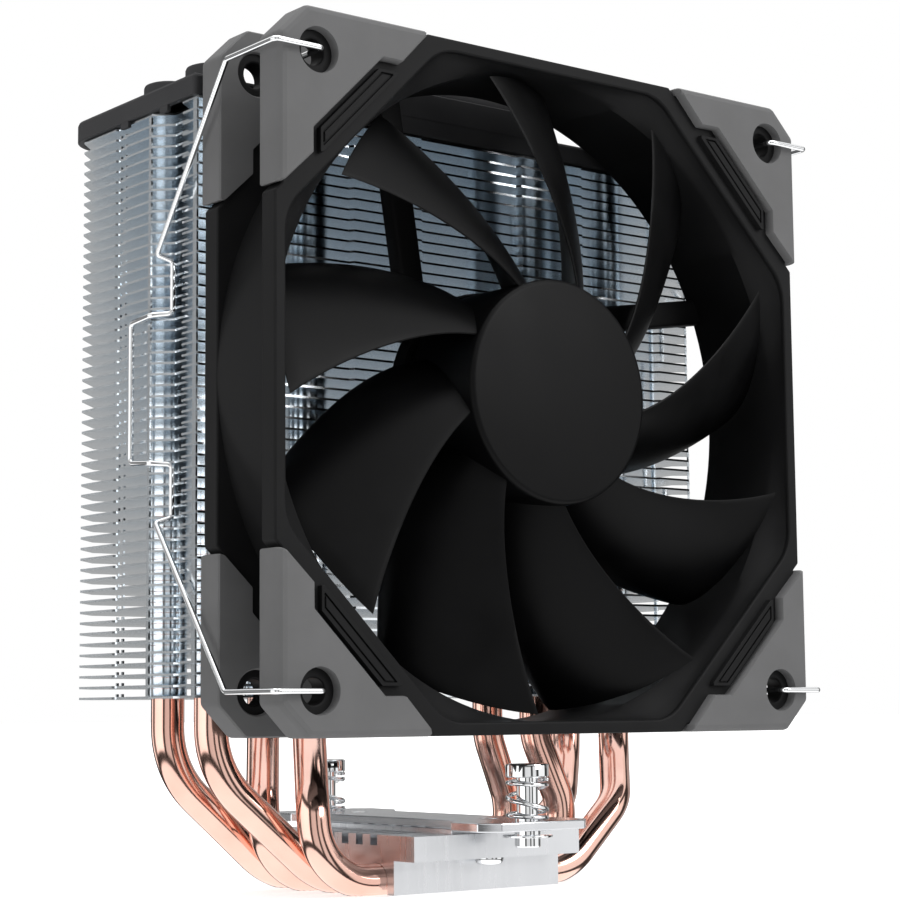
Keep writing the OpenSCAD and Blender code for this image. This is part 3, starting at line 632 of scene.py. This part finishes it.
def bar_shape():
    """The mounting bar: wide ends with cut corners, a narrow middle and four holes."""
    end, mid, chamfer = 12.5, 8, 3
    length = BAR_HIGH.y
    shoulder = length - 10.5
    neck = shoulder - end + mid
    right = [(end - chamfer, -length), (end, -length + chamfer), (end, -shoulder),
             (mid, -neck), (mid, neck), (end, shoulder), (end, length - chamfer),
             (end - chamfer, length)]
    outline = Outline(right + [(-x, y) for x, y in reversed(right)], 0.4, 3)
    holes = [circle(0, side * SCREW_Y, 2.38, 40) for side in (-1, 1)] + fixing_holes()
    return prism([outline] + holes, edged(BAR_LOW.z, BAR_HIGH.z, 0.22))


def fixing_profile():
    """A screw put in from below, with a domed head and a dimple in its tip."""
    bottom, tip = BLOCK_HIGH.z - 1.3, BAR_HIGH.z - 0.3
    return [(0, bottom + 0.5), (1.3, bottom + 0.5), (1.35, bottom), (1.9, bottom + 0.03),
            (2.35, bottom + 0.3), (2.62, bottom + 0.75), (2.7, bottom + 1.1),
            (2.7, bottom + 1.28), (1.5, bottom + 1.28), (1.5, tip - 0.25), (1.25, tip),
            (0.5, tip), (0.2, tip - 0.2), (0, tip - 0.2)]


def fixing_holes():
    return [circle(0, side * FIXING_Y, 1.52, 32) for side in (-1, 1)]


# ---------- sprung screws ----------

def screw_shape(y):
    """Screw with a cross slot in its rounded head, a shank, a guide and a ring groove."""
    low_end, top, head = SCREW_LOW.z, SCREW_HIGH.z, SCREW_HEAD_R
    guide, flat_r = 2.3, 3.0
    profile = [(0, low_end + 6), (1.25, low_end + 6), (1.25, low_end + 0.2), (1.45, low_end),
               (2.1, low_end), (guide, low_end + 0.25), (guide, 9.9), (1.7, 9.9), (1.7, 10.4),
               (guide, 10.4), (guide, 13.2), (2.1, 13.4), (1.9, 13.4), (1.9, SCREW_HEAD_LOW),
               (head - 0.2, SCREW_HEAD_LOW), (head, SCREW_HEAD_LOW + 0.2), (head, top - 0.35),
               (head - 0.1, top - 0.12), (head - 0.35, top), (flat_r, top)]
    shape = lathe(profile, at(0, y), 64)
    half, width = 2.2, 0.45
    cross = [(width, width), (half, width), (half, -width), (width, -width), (width, -half),
             (-width, -half), (-width, -width), (-half, -width), (-half, width),
             (-width, width), (-width, half), (width, half)]
    shape.join(plate_ring(circle(0, 0, flat_r, 64), cross, top, at(0, y)))
    return shape.join(pocket(cross, top, top - 0.7, at(0, y)))


def spring_line(y):
    """Centre line of a left-handed spring: flat first and last turns, and steep ones between
    them."""
    turns, end_rise, count = 3.1, 0.15, 170
    radius = SCREW_HEAD_R - SPRING_WIRE_R
    bottom = BAR_HIGH.z + SPRING_WIRE_R + 0.03
    height = SCREW_HEAD_LOW - SPRING_WIRE_R - 0.03 - bottom
    flat_share = 1 / turns
    line = []
    for i in range(count):
        t = i / (count - 1)
        if t < flat_share:
            rise = end_rise * t / flat_share
        elif t > 1 - flat_share:
            rise = 1 - end_rise * (1 - t) / flat_share
        else:
            rise = end_rise + (1 - 2 * end_rise) * (t - flat_share) / (1 - 2 * flat_share)
        a = -2 * math.pi * turns * t
        line.append((radius * math.cos(a), y + radius * math.sin(a), bottom + height * rise))
    return line


def retaining_ring(y):
    """Open ring with three inner lobes and rounded ends."""
    outer, inner, lobe = 4.45, 2.75, 1.72
    opening = math.radians(38)
    lobes = [math.radians(degrees) for degrees in (50, 180, 310)]
    loop = []
    for count, outside in ((48, True), (96, False)):
        arc = []
        for k in range(count + 1):
            a = opening + (2 * math.pi - 2 * opening) * k / count
            near = max(math.cos(a - centre) for centre in lobes)
            share = max(0, min(1, (near - 0.93) / 0.03))
            share = share * share * (3 - 2 * share)
            radius = outer if outside else inner + (lobe - inner) * share
            arc.append((radius * math.cos(a), radius * math.sin(a)))
        loop += arc if outside else arc[::-1]
    return prism([loop], edged(9.96, 10.34, 0.1), at(0, y))


def make_screws():
    for end, side in (("front", -1), ("rear", 1)):
        y = side * SCREW_Y
        piece(f"{end}_screw", screw_shape(y), f"{end}_screw", CHROME, "screw_chrome",
              f"{end}_mounting_screw")
        piece(f"{end}_ring", retaining_ring(y), f"{end}_ring", CHROME, "screw_chrome",
              f"{end}_retaining_ring")
        spring = piece(f"{end}_spring", tube(spring_line(y), SPRING_WIRE_R, 16), "cooler",
                       CHROME, "screw_chrome", f"{end}_screw_spring")
        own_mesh(spring)


# ---------- heat pipes ----------

def left_leg(kind, base_y, leg_y):
    """Points of a left leg from its top to the base, and the radii of its bends."""
    if kind == "outer":
        return [(-OUTER_LEG, leg_y, PIPE_TOP - 1.2), (-OUTER_LEG, leg_y, 22),
                (-25.1, base_y, PIPE_AXIS_Z)], [17, 15]
    return [(-INNER_LEG, leg_y, PIPE_TOP - 1.2), (-INNER_LEG, leg_y, 32),
            (-31.8, base_y + 1.5, 16), (-31.6, base_y, PIPE_AXIS_Z)], [20, 11, 10.5]


def right_leg(kind, base_y, leg_y):
    """The same for a right leg, which is bent more tightly."""
    if kind == "outer":
        return [(OUTER_LEG, leg_y, PIPE_TOP - 1.2), (OUTER_LEG, leg_y, 24),
                (40, base_y + 2, 14.5), (25.1, base_y, PIPE_AXIS_Z)], [12, 12, 15]
    return [(INNER_LEG, leg_y, PIPE_TOP - 1.2), (INNER_LEG, leg_y, 27),
            (31, base_y + 0.5, 15), (31.6, base_y, PIPE_AXIS_Z)], [12, 10, 10]


def make_pipes():
    """Each pipe has an outer leg on one side and an inner leg on the other."""
    pipes = [("outer", 12, REAR_LEG), ("inner", 4, REAR_LEG), ("outer", -4, FRONT_LEG),
             ("inner", -12, FRONT_LEG)]
    for number, (kind, base_y, leg_y) in enumerate(pipes, 1):
        left, left_bends = left_leg(kind, base_y, leg_y)
        right, right_bends = right_leg("inner" if kind == "outer" else "outer", base_y, leg_y)
        line = bent(left + right[::-1], left_bends + right_bends[::-1], 4)
        shape = tube(line, PIPE_R, 40)
        shape.verts = [(x, y, max(z, 0)) for x, y, z in shape.verts]
        piece(f"pipe_{number}", shape, "cooler", COPPER, "copper", f"heat_pipe_{number}")


# ---------- fins ----------

def fin_side(front_cut, rear_cut):
    """Right half of a fin, front to back: steps in its front edge, corners cut by two sizes, a
    side notch for the wire clip and a small interlock cut."""
    side, front, rear = STACK_X, STACK_FRONT, STACK_REAR
    return [(11.3, front + 0.9), (12.0, front), (27.2, front), (27.8, front + 0.9),
            (46.2, front + 0.9), (46.9, front), (side - front_cut, front),
            (side, front + front_cut), (side, front + max(front_cut + 0.1, 5)),
            (side - 3, front + 7.6), (side - 3, front + 12.2), (side, front + 15.4),
            (side, 7.2), (side - 0.5, 7.4), (side - 0.5, 10.5), (side, 10.7),
            (side, rear - rear_cut), (side - rear_cut, rear)]


def fin_shape():
    """One fin with its collars and the folded tabs that hold it off the next one."""
    cut, square = 5.5, 0.3
    outline = fin_side(cut, square) + [(-x, y) for x, y in reversed(fin_side(square, cut))]
    holes = [circle(x, y, PIPE_R + 0.3, 32) for x, y in LEGS]
    fin = prism([outline] + holes, [(0, 0), (0, FIN_T)])
    tab_top = FIN_PITCH - 0.06
    collar = [(PIPE_R + 0.08, 0), (PIPE_R + 0.75, 0), (PIPE_R + 0.75, FIN_T),
              (PIPE_R + 0.5, FIN_T + 0.18), (PIPE_R + 0.42, FIN_T + 0.4),
              (PIPE_R + 0.42, tab_top), (PIPE_R + 0.08, tab_top)]
    for x, y in LEGS:
        fin.join(lathe(collar, at(x, y), 32, closed=True))
    side, front = STACK_X, STACK_FRONT
    corner = Outline([(side - 2.9, front + 2.6), (side - 2, front + 3.5),
                      (side - 2.3, front + 3.8), (side - 3.2, front + 2.9)], 0.05, 1)
    fin.join(prism([corner], [(0, FIN_T), (0, tab_top)]))
    fin.join(box(-side, 0.35 - side, front + 0.3, front + 1.5, FIN_T, tab_top))
    fin.join(both_sides(box(side - 0.35, side, front + 15.6, front + 16.4, FIN_T, tab_top)))
    for y in (7.9, 9.7):
        fin.join(both_sides(box(side - 0.9, side - 0.5, y, y + 0.45, FIN_T, FIN_T + 0.5)))
    return fin


def make_fins():
    fin = fin_shape()
    for i in range(FINS):
        lifted = Shape().join(fin, lambda v: (v[0], v[1], v[2] + STACK_LOW + i * FIN_PITCH))
        names = ("fin_stack", "fin_collars") if i == 0 else ()
        piece(f"fin_{i + 1:02d}", lifted, "cooler", FIN_METAL, "fin_aluminium", *names)


# ---------- cover ----------

def cover_outline(grow, front):
    edge, rear = STACK_X + 0.8 + grow, STACK_REAR + 0.8 + grow
    return Outline([(-edge, front), (edge, front), (edge, rear), (-edge, rear)],
                   [0.8, 7 + grow, 0.8, 7 + grow], 10)


def make_cover():
    cover = Shape()
    outline = cover_outline(0, STACK_FRONT)
    pocket_loop = cover_outline(-1.2, STACK_FRONT + 1.2).drawn_in(0)
    levels = [(0.15, COVER_LOW), (0, COVER_LOW + 0.15), (0, COVER_TOP - 0.6)]
    levels += [(0.18, COVER_TOP - 0.18), (0.6, COVER_TOP)]
    cover.join(shell_with_pocket(outline, pocket_loop, levels, COVER_TOP - 1.4))
    boss = [(0, COVER_TOP - 0.7), (5, COVER_TOP - 0.7), (5, BOSS_TOP - 0.6),
            (4.82, BOSS_TOP - 0.18), (4.4, BOSS_TOP), (0, BOSS_TOP)]
    for x, y in LEGS:
        cover.join(lathe(boss, at(x, y), 48))
    panel = Outline([(-20, STACK_FRONT), (20, STACK_FRONT), (20, STACK_FRONT + 40),
                     (-20, STACK_FRONT + 40)], [0.5, 0.5, 1.5, 1.5], 4)
    cover.join(prism([panel], [(0, COVER_TOP - 0.7), (0, PANEL_TOP - 1.6),
                               (0.2, PANEL_TOP - 1.4), (0.2, PANEL_TOP - 0.2),
                               (0.4, PANEL_TOP)]))
    for side in (-1, 1):
        for y in (-7.1, 6.5):
            edge = side * (STACK_X + 0.05)
            outer = side * (STACK_X + 0.7)
            cover.join(box(min(edge, outer), max(edge, outer), y - 1.3, y + 1.3,
                           COVER_LOW - 1.1, COVER_LOW + 0.6))
    piece("cover", cover, "cooler", COVER_GREY, "cover_plastic", "top_cover")


def shell_with_pocket(outline, inner, levels, roof):
    """A lid: an outside with rounded edges, a rim underneath and a pocket up to the roof."""
    loops = [outline.drawn_in(drawn_in) for drawn_in, _ in levels]
    count, last, underside = len(loops[0]), len(levels) - 1, levels[0][1]
    verts = [flat(p[0], p[1], h) for loop, (_, h) in zip(loops, levels) for p in loop]
    faces = [face for level in range(last) for face in band(level * count, count, count)]
    faces += filled(loops[-1:], last * count)
    sharp = [edge for level in (0, 1, 2, last) for edge in rim(level * count, count)]
    shape = Shape().add(verts, faces, sharp)
    shape.join(plate_ring(loops[0], inner, underside, flat))
    return shape.join(pocket(inner, underside, roof, flat))


# ---------- fan frame ----------

def quarter_turned(points, turns):
    for _ in range(turns):
        points = [(-y, x) for x, y in points]
    return points


def flange_loop():
    side = FAN_HALF
    inner = side - PAD_SKIN
    cut = PAD_CORNER - 2 * PAD_SKIN - inner
    ends = PAD_REACH - side
    corner = [(side, -ends), (side, ends), (inner, ends + PAD_SKIN), (inner, cut), (cut, inner),
              (ends + PAD_SKIN, inner)]
    loop = []
    for turns in range(4):
        loop += quarter_turned(corner, turns)
    return Outline(loop, 0.5, 3)


def inlet_loop():
    """The inlet's square with cut corners, all corners rounded."""
    side, diagonal = 57.8, 59 * math.sqrt(2)
    start = [(side, diagonal - side), (diagonal - side, side)]
    loop = []
    for turns in range(4):
        loop += quarter_turned(start, turns)
    return Outline(loop, 9, 8)


def hole_loops():
    return [circle(x, z, 2.2, 32) for x in (-HOLE, HOLE) for z in (-HOLE, HOLE)]


def duct_liner():
    """The duct's wall: its mouth blends from the inlet's outline into a circle."""
    mouth = inlet_loop().drawn_in(0)
    count = 192
    angles = [2 * math.pi * i / count for i in range(count)]
    wide = [reach(mouth, a) - 0.04 for a in angles]
    flange, rear = FACE + FLANGE_T, FAN_DEPTH - FACE
    rings = [([w + (DUCT_R - w) * share for w in wide], FACE + depth) for share, depth in
             ((0, 0.9), (0.08, 1.6), (0.35, 2.6), (0.75, 3.6), (1, 4.6))]
    rings += [([DUCT_R] * count, rear - 0.4), ([DUCT_R + 0.4] * count, rear - 0.01),
              ([DUCT_OUTER] * count, rear - 0.01), ([DUCT_OUTER] * count, flange + 0.02),
              ([max(w + 0.5, DUCT_OUTER) for w in wide], flange - 0.05),
              ([w + 0.5 for w in wide], FACE + 0.9)]
    verts = [facing(r * math.cos(a), r * math.sin(a), depth)
             for radii, depth in rings for r, a in zip(radii, angles)]
    last = len(rings) - 1
    faces = [face for k in range(last) for face in band(k * count, count, count)]
    return Shape().add(verts, faces + band(last * count, count, -last * count))


def strut_shape(turn):
    """One arm of the motor support: a bar with rounded edges, set off from the centre."""
    start, end, middle, half = 14, 57.2, 14, 2.5
    section = Outline([(20.9, middle - half), (24.6, middle - half), (24.6, middle + half),
                       (20.9, middle + half)], 0.7, 3)
    a = math.radians(turn)

    def place(depth, aside, along):
        return facing(along * math.cos(a) - aside * math.sin(a),
                      along * math.sin(a) + aside * math.cos(a), depth)
    return prism([section], [(0, start), (0, end)], place)


def strip_shape(turns, front):
    """The raised strip in a corner pad's notch, with a narrow groove round its middle."""
    outer = FAN_HALF - 8.3
    inner = outer - 0.6
    long_end, short_end = outer - 16.1, outer - 12
    border = Outline(quarter_turned(
        [(outer, short_end), (short_end, outer), (long_end, outer), (long_end, inner),
         (inner, long_end), (outer, long_end)], turns), 0.1, 2)
    far = outer - 0.55
    near_sum, far_sum = outer + long_end + 0.45, outer + short_end - 1.05
    corners = [(far, far_sum - far), (far_sum - far, far), (near_sum - far, far),
               (far, near_sum - far)]
    groove = Outline(quarter_turned(corners, turns), 0.12, 2)

    def place(x, z, depth):
        return facing(x, z, depth if front else FAN_DEPTH - depth)
    shape = prism([border, groove], edged(0.7, FACE + 0.1, 0.09), place)
    for levels in ([(0.3, FACE + 0.1), (0.3, 0.78), (0.38, 0.7)],
                   [(-0.05, FACE + 0.1), (-0.05, 1.15)]):
        shape.join(prism([groove], levels, place))
    return shape


def make_frame():
    shape = Shape()
    shape.join(prism([flange_loop(), inlet_loop()] + hole_loops(),
                     edged(FACE, FACE + FLANGE_T, 0.35), facing))
    rear = FAN_DEPTH - FACE
    opening = circle(0, 0, DUCT_R + 0.05, 128)
    shape.join(prism([flange_loop(), opening] + hole_loops(),
                     edged(rear - FLANGE_T, rear, 0.35), facing))
    shape.join(duct_liner())
    for turns in range(4):
        shape.join(strut_shape(9 + 90 * turns))
        shape.join(strip_shape(turns, True))
        shape.join(strip_shape(turns, False))
    cup = [(0, 23), (19.1, 23), (19.1, 24.3), (19.4, 24.6), (20.3, 24.6), (20.6, 24.3),
           (20.6, 21.7), (20.3, 21.4), (5.2, 21.4), (5.2, 9.8), (4.9, 9.5), (3.6, 9.5),
           (3.6, 22), (0, 22)]
    shape.join(lathe(cup, facing))
    piece("frame", shape, "cooler", FRAME_BLACK, "frame_plastic", "fan_frame")


# ---------- impeller ----------

def blade_point(radius, t, s):
    """Middle surface of a blade: t from hub to tip, s from the leading edge back."""
    lead = 113.8 + 49.67 * t - 26.97 * t * t + 8.24 * t ** 3
    sweep = 31.4 - 11.9 * t + 4.5 * t * t
    angle = math.radians(lead - sweep * (2 * s - s * s))
    depth = 2.4 + (17 - 1.2 * t) * s
    return Vector((radius * math.cos(angle), depth, radius * math.sin(angle)))


def blade_shape():
    """A closed skin round the blade's middle surface, with rounded edges and a rounded tip."""
    root, spans, along = HUB_R - 0.7, 26, 22
    count = 2 * along
    verts = []
    for i in range(spans + 1):
        t = i / spans
        radius = root + (TIP_R - root) * t
        half = (0.65 - 0.2 * t) * (0.45 if i == spans else 1)
        for k in range(count):
            turn = math.pi * k / along
            s = 0.5 - 0.5 * math.cos(turn)
            chord = blade_point(radius, t, s + 0.02) - blade_point(radius, t, s - 0.02)
            span = (blade_point(radius + 0.5, t + 0.013, s)
                    - blade_point(radius - 0.5, t - 0.013, s))
            out = math.copysign(half * abs(math.sin(turn)) ** 0.6, math.sin(turn))
            verts.append(blade_point(radius, t, s) + chord.cross(span).normalized() * out)
    faces = [face for i in range(spans) for face in band(i * count, count, count)]
    for base in (0, spans * count):
        for k in range(1, along):
            a, b = base + k, base + count - k
            if k == 1:
                faces.append((base, a, b))
            faces.append((a, a + 1, b) if a + 1 == b - 1 else (a, a + 1, b - 1, b))
    return Shape().add(verts, faces)


def make_impeller():
    shape = Shape()
    front, inner = 1.1, HUB_R - 1.5
    hub = [(0, front), (HUB_R - 1, front), (HUB_R - 0.6, front + 0.08),
           (HUB_R - 0.25, front + 0.32), (HUB_R - 0.05, front + 0.65), (HUB_R, front + 1.1),
           (HUB_R, 19.2), (HUB_R - 0.2, 19.4), (inner + 0.2, 19.4), (inner, 19.2),
           (inner, front + 1.5), (3.4, front + 1.5), (3.4, 8.2), (1.51, 8.2),
           (1.51, front + 1.5), (0, front + 1.5)]
    shape.join(lathe(hub, facing, 128))
    blade = blade_shape()
    for k in range(BLADES):
        a = 2 * math.pi * k / BLADES
        shape.join(blade, lambda v: facing(v[0] * math.cos(a) - v[2] * math.sin(a),
                                           v[0] * math.sin(a) + v[2] * math.cos(a), v[1]))
    piece("fan_rotor", shape, "rotor", BLADE_BLACK, "impeller_plastic", "impeller")


# ---------- corner pads ----------

def pad_outline():
    """Outline of the top right pad, whose sides on the outside have a wide bevel and the others
    a narrow one."""
    side = FAN_HALF
    end, step = side - 30.4, side - 6.7
    points = [(side, end), (side, PAD_CORNER - side), (PAD_CORNER - side, side), (end, side),
              (end + 0.3, side - 1.2), (PAD_REACH - step, step), (PAD_STEP - step, step),
              (step, PAD_STEP - step), (step, PAD_REACH - step), (side - 1.2, end + 0.3)]
    radii = [0.4, 1.6, 1.6, 0.4, 0.5, 0.5, 0.5, 0.5, 0.5, 0.5]
    shares = [1, 1, 1, 0.5, 0.3, 0.3, 0.3, 0.3, 0.3, 0.5]
    return Outline(points, radii, 5, shares)


def make_pads():
    """A front skin, a side wall and a rear lip round the corner of the flange."""
    skin = pad_outline()
    hole = circle(HOLE, HOLE, 3.75, 48)
    edge = 1.2
    levels = [(edge, 0), (edge * 0.42, 0.26), (edge * 0.1, 0.78), (0, 1.3), (0, FACE - 0.04)]
    front_skin = prism([skin, hole], levels, hole_share=0.15)
    inner = FAN_HALF - PAD_SKIN + 0.05
    cut = PAD_CORNER - 2 * PAD_SKIN + 0.07 - inner
    end = FAN_HALF - 30.4
    outside = [(FAN_HALF, end), (FAN_HALF, PAD_CORNER - FAN_HALF),
               (PAD_CORNER - FAN_HALF, FAN_HALF), (end, FAN_HALF), (end + 0.35, inner),
               (cut, inner), (inner, cut), (inner, end + 0.35)]
    wall_outline = Outline(outside, [0.3, 1.6, 1.6, 0.3, 0.1, 0.8, 0.8, 0.1], 5)
    wall = prism([wall_outline], [(0, FACE - 0.06), (0, FACE + FLANGE_T + 0.06)])
    lip_levels = [(0, FACE + FLANGE_T + 0.04), (0, PAD_T - 0.3), (0.25, PAD_T)]
    lip = prism([skin, hole], lip_levels)
    shape = Shape().join(front_skin).join(wall).join(lip)
    for end_name, rear in (("front", False), ("rear", True)):
        for row, up in (("top", 1), ("bottom", -1)):
            for column, aside in (("left", -1), ("right", 1)):
                def place(v):
                    depth = FAN_DEPTH - v[2] if rear else v[2]
                    return facing(aside * v[0], up * v[1], depth)
                name = f"{end_name}_{row}_{column}_pad"
                node = f"{end_name}_pad_{row}_{column}"
                piece(name, Shape().join(shape, place), "cooler", PAD_GREY, "pad_rubber", node)


# ---------- wire clips ----------

def clip_half():
    """Upper half of the right clip in the fan's frame, from its tip in the hole to the handle."""
    out, notch, handle = STACK_X + 1.8, STACK_X - 1.8, STACK_X + 1.2
    return [(HOLE, 8, HOLE), (HOLE, -1.1, HOLE), (out, -1.1, HOLE), (out, 13.7, HOLE),
            (out - 0.9, 37.4, 23.4), (notch, 36.6, 22.4), (notch, 36.6, 13.2),
            (handle, 39, 12.9), (handle, 45.6, 12.4)]


def make_clips():
    bends = [0.9, 0.9, 1.2, 0.7, 0.8, 0.8, 1, 1]
    for name, side in (("left", -1), ("right", 1)):
        half = [(side * x, depth, z) for x, depth, z in clip_half()]
        points = half + [(x, depth, -z) for x, depth, z in reversed(half)]
        line = [facing(p.x, p.z, p.y) for p in bent(points, bends + bends[::-1], 12)]
        shape = tube(line, CLIP_WIRE_R, 20)
        piece(f"{name}_clip", shape, "cooler", CHROME, "spring_steel", f"{name}_wire_clip")


# ---------- stage ----------

def make_floor():
    bpy.ops.mesh.primitive_plane_add(size=12, location=(0, 0, -0.0002))
    floor = bpy.context.object
    floor.name = "floor"
    material, tree, shader = new_material("floor_white")
    shader.inputs["Base Color"].default_value = (0.9, 0.9, 0.9, 1)
    shader.inputs["Roughness"].default_value = 0.9
    shader.inputs["Specular IOR Level"].default_value = 0
    shader.inputs["Emission Color"].default_value = (1, 1, 1, 1)
    shader.inputs["Emission Strength"].default_value = 0.6
    floor.data.materials.append(material)
    floor.visible_diffuse = False
    floor.visible_glossy = False


def ramp(tree, value, stops):
    """A grey that changes along a value through (position, brightness) stops."""
    node = tree.nodes.new("ShaderNodeValToRGB")
    points = node.color_ramp.elements
    while len(points) < len(stops):
        points.new(0.5)
    for point, (position, light) in zip(points, stops):
        point.position = position
        point.color = (light, light, light, 1)
    tree.links.new(value, node.inputs["Fac"])
    return node.outputs["Color"]


def blend(tree, share, first, second):
    node = tree.nodes.new("ShaderNodeMix")
    node.data_type = "RGBA"
    tree.links.new(share, node.inputs["Factor"])
    for socket, colour in (("A", first), ("B", second)):
        if isinstance(colour, tuple):
            node.inputs[socket].default_value = colour
        else:
            tree.links.new(colour, node.inputs[socket])
    return node.outputs["Result"]


def make_world():
    """A studio all round, which bright metal mirrors: pale panels with dark gaps between them,
    brightest on the left, between a pale ceiling and a pale ground. The camera sees plain
    white."""
    world = bpy.data.worlds.new("studio")
    bpy.context.scene.world = world
    world.use_nodes = True
    tree = world.node_tree
    background = tree.nodes["Background"]
    place = tree.nodes.new("ShaderNodeTexCoord")
    around = tree.nodes.new("ShaderNodeTexGradient")
    around.gradient_type = "RADIAL"
    tree.links.new(place.outputs["Generated"], around.inputs["Vector"])
    walls = ramp(tree, around.outputs["Fac"], [
        (0.0, 1.7), (0.06, 1.7), (0.075, 0.05), (0.1, 0.05), (0.115, 0.8), (0.19, 0.85),
        (0.2, 0.05), (0.22, 0.05), (0.23, 0.85), (0.27, 0.9), (0.285, 0.05), (0.31, 0.05),
        (0.325, 1.05), (0.43, 1.05), (0.445, 0.04), (0.49, 0.04), (0.52, 0.45), (0.56, 0.45),
        (0.7, 0.4), (0.715, 0.04), (0.78, 0.04), (0.79, 1.5), (0.815, 1.5), (0.825, 0.25),
        (0.885, 0.25), (0.895, 1.5), (0.985, 1.7)])
    split = tree.nodes.new("ShaderNodeSeparateXYZ")
    tree.links.new(place.outputs["Generated"], split.inputs["Vector"])
    height = tree.nodes.new("ShaderNodeMapRange")
    height.inputs["From Min"].default_value = -1
    tree.links.new(split.outputs["Z"], height.inputs["Value"])
    above = ramp(tree, height.outputs["Result"], [(0.66, 0), (0.68, 1)])
    below = ramp(tree, height.outputs["Result"], [(0.33, 1), (0.35, 0)])
    ground = ramp(tree, height.outputs["Result"], [(0.26, 1.35), (0.275, 0.05), (0.34, 0.05)])
    ceiling = ramp(tree, height.outputs["Result"], [(0.66, 0.0), (0.675, 0.05), (0.735, 0.05),
                                                    (0.75, 1.0)])
    shown = blend(tree, above, walls, ceiling)
    shown = blend(tree, below, shown, ground)
    seen = tree.nodes.new("ShaderNodeLightPath")
    shown = blend(tree, seen.outputs["Is Camera Ray"], shown, (1, 1, 1, 1))
    tree.links.new(shown, background.inputs["Color"])


def make_light(name, place, aim, size, power):
    data = bpy.data.lights.new(name, "AREA")
    data.shape = "RECTANGLE"
    data.size, data.size_y = size
    data.energy = power
    light = bpy.data.objects.new(name, data)
    light.location = place
    light.rotation_euler = (Vector(aim) - Vector(place)).to_track_quat("-Z", "Y").to_euler()
    bpy.context.scene.collection.objects.link(light)


def make_camera():
    """Low and to the left of the cooler, looking up a little, with a slight roll."""
    data = bpy.data.cameras.new("camera")
    data.lens = 89.56
    data.sensor_width = 36
    data.clip_start, data.clip_end = 0.01, 50
    camera = bpy.data.objects.new("camera", data)
    heading, tilt, roll = math.radians(-37.99), math.radians(6.621), math.radians(-0.524)
    forward = Vector((-math.sin(heading) * math.cos(tilt), math.cos(heading) * math.cos(tilt),
                      math.sin(tilt)))
    right = forward.cross(Vector((0, 0, 1))).normalized()
    up = right.cross(forward)
    right, up = (right * math.cos(roll) + up * math.sin(roll),
                 up * math.cos(roll) - right * math.sin(roll))
    turn = Matrix((right, up, -forward)).transposed()
    camera.matrix_world = Matrix.Translation((-0.25657, -0.338321, 0.032335)) @ turn.to_4x4()
    bpy.context.scene.collection.objects.link(camera)
    bpy.context.scene.camera = camera


make_base()
make_screws()
make_pipes()
make_fins()
make_cover()
make_frame()
make_impeller()
make_pads()
make_clips()

for cad_node, look in (("rotor_yoke", STEEL), ("magnet_ring", MAGNET), ("motor_shaft", CHROME),
                       ("shaft_clip", NYLON), ("bearing_sleeve", BRONZE), ("thrust_pad", NYLON),
                       ("stator_core", LAMINATIONS), ("stator_windings", WINDINGS),
                       ("circuit_board", BOARD), ("motor_label", LABEL)):
    finish_of(cad_node, look)

make_floor()
make_world()
make_light("key", (0.55, -1.2, 0.75), (0, 0, 0.08), (0.9, 0.9), 10.5)
make_light("top", (0.1, 0.1, 1.3), (0, 0, 0.08), (1.2, 1.2), 9)
make_camera()
bpy.context.scene.view_settings.view_transform = "Standard"
# Light bounces many times between two fins before it comes out.
bpy.context.scene.cycles.glossy_bounces = 12
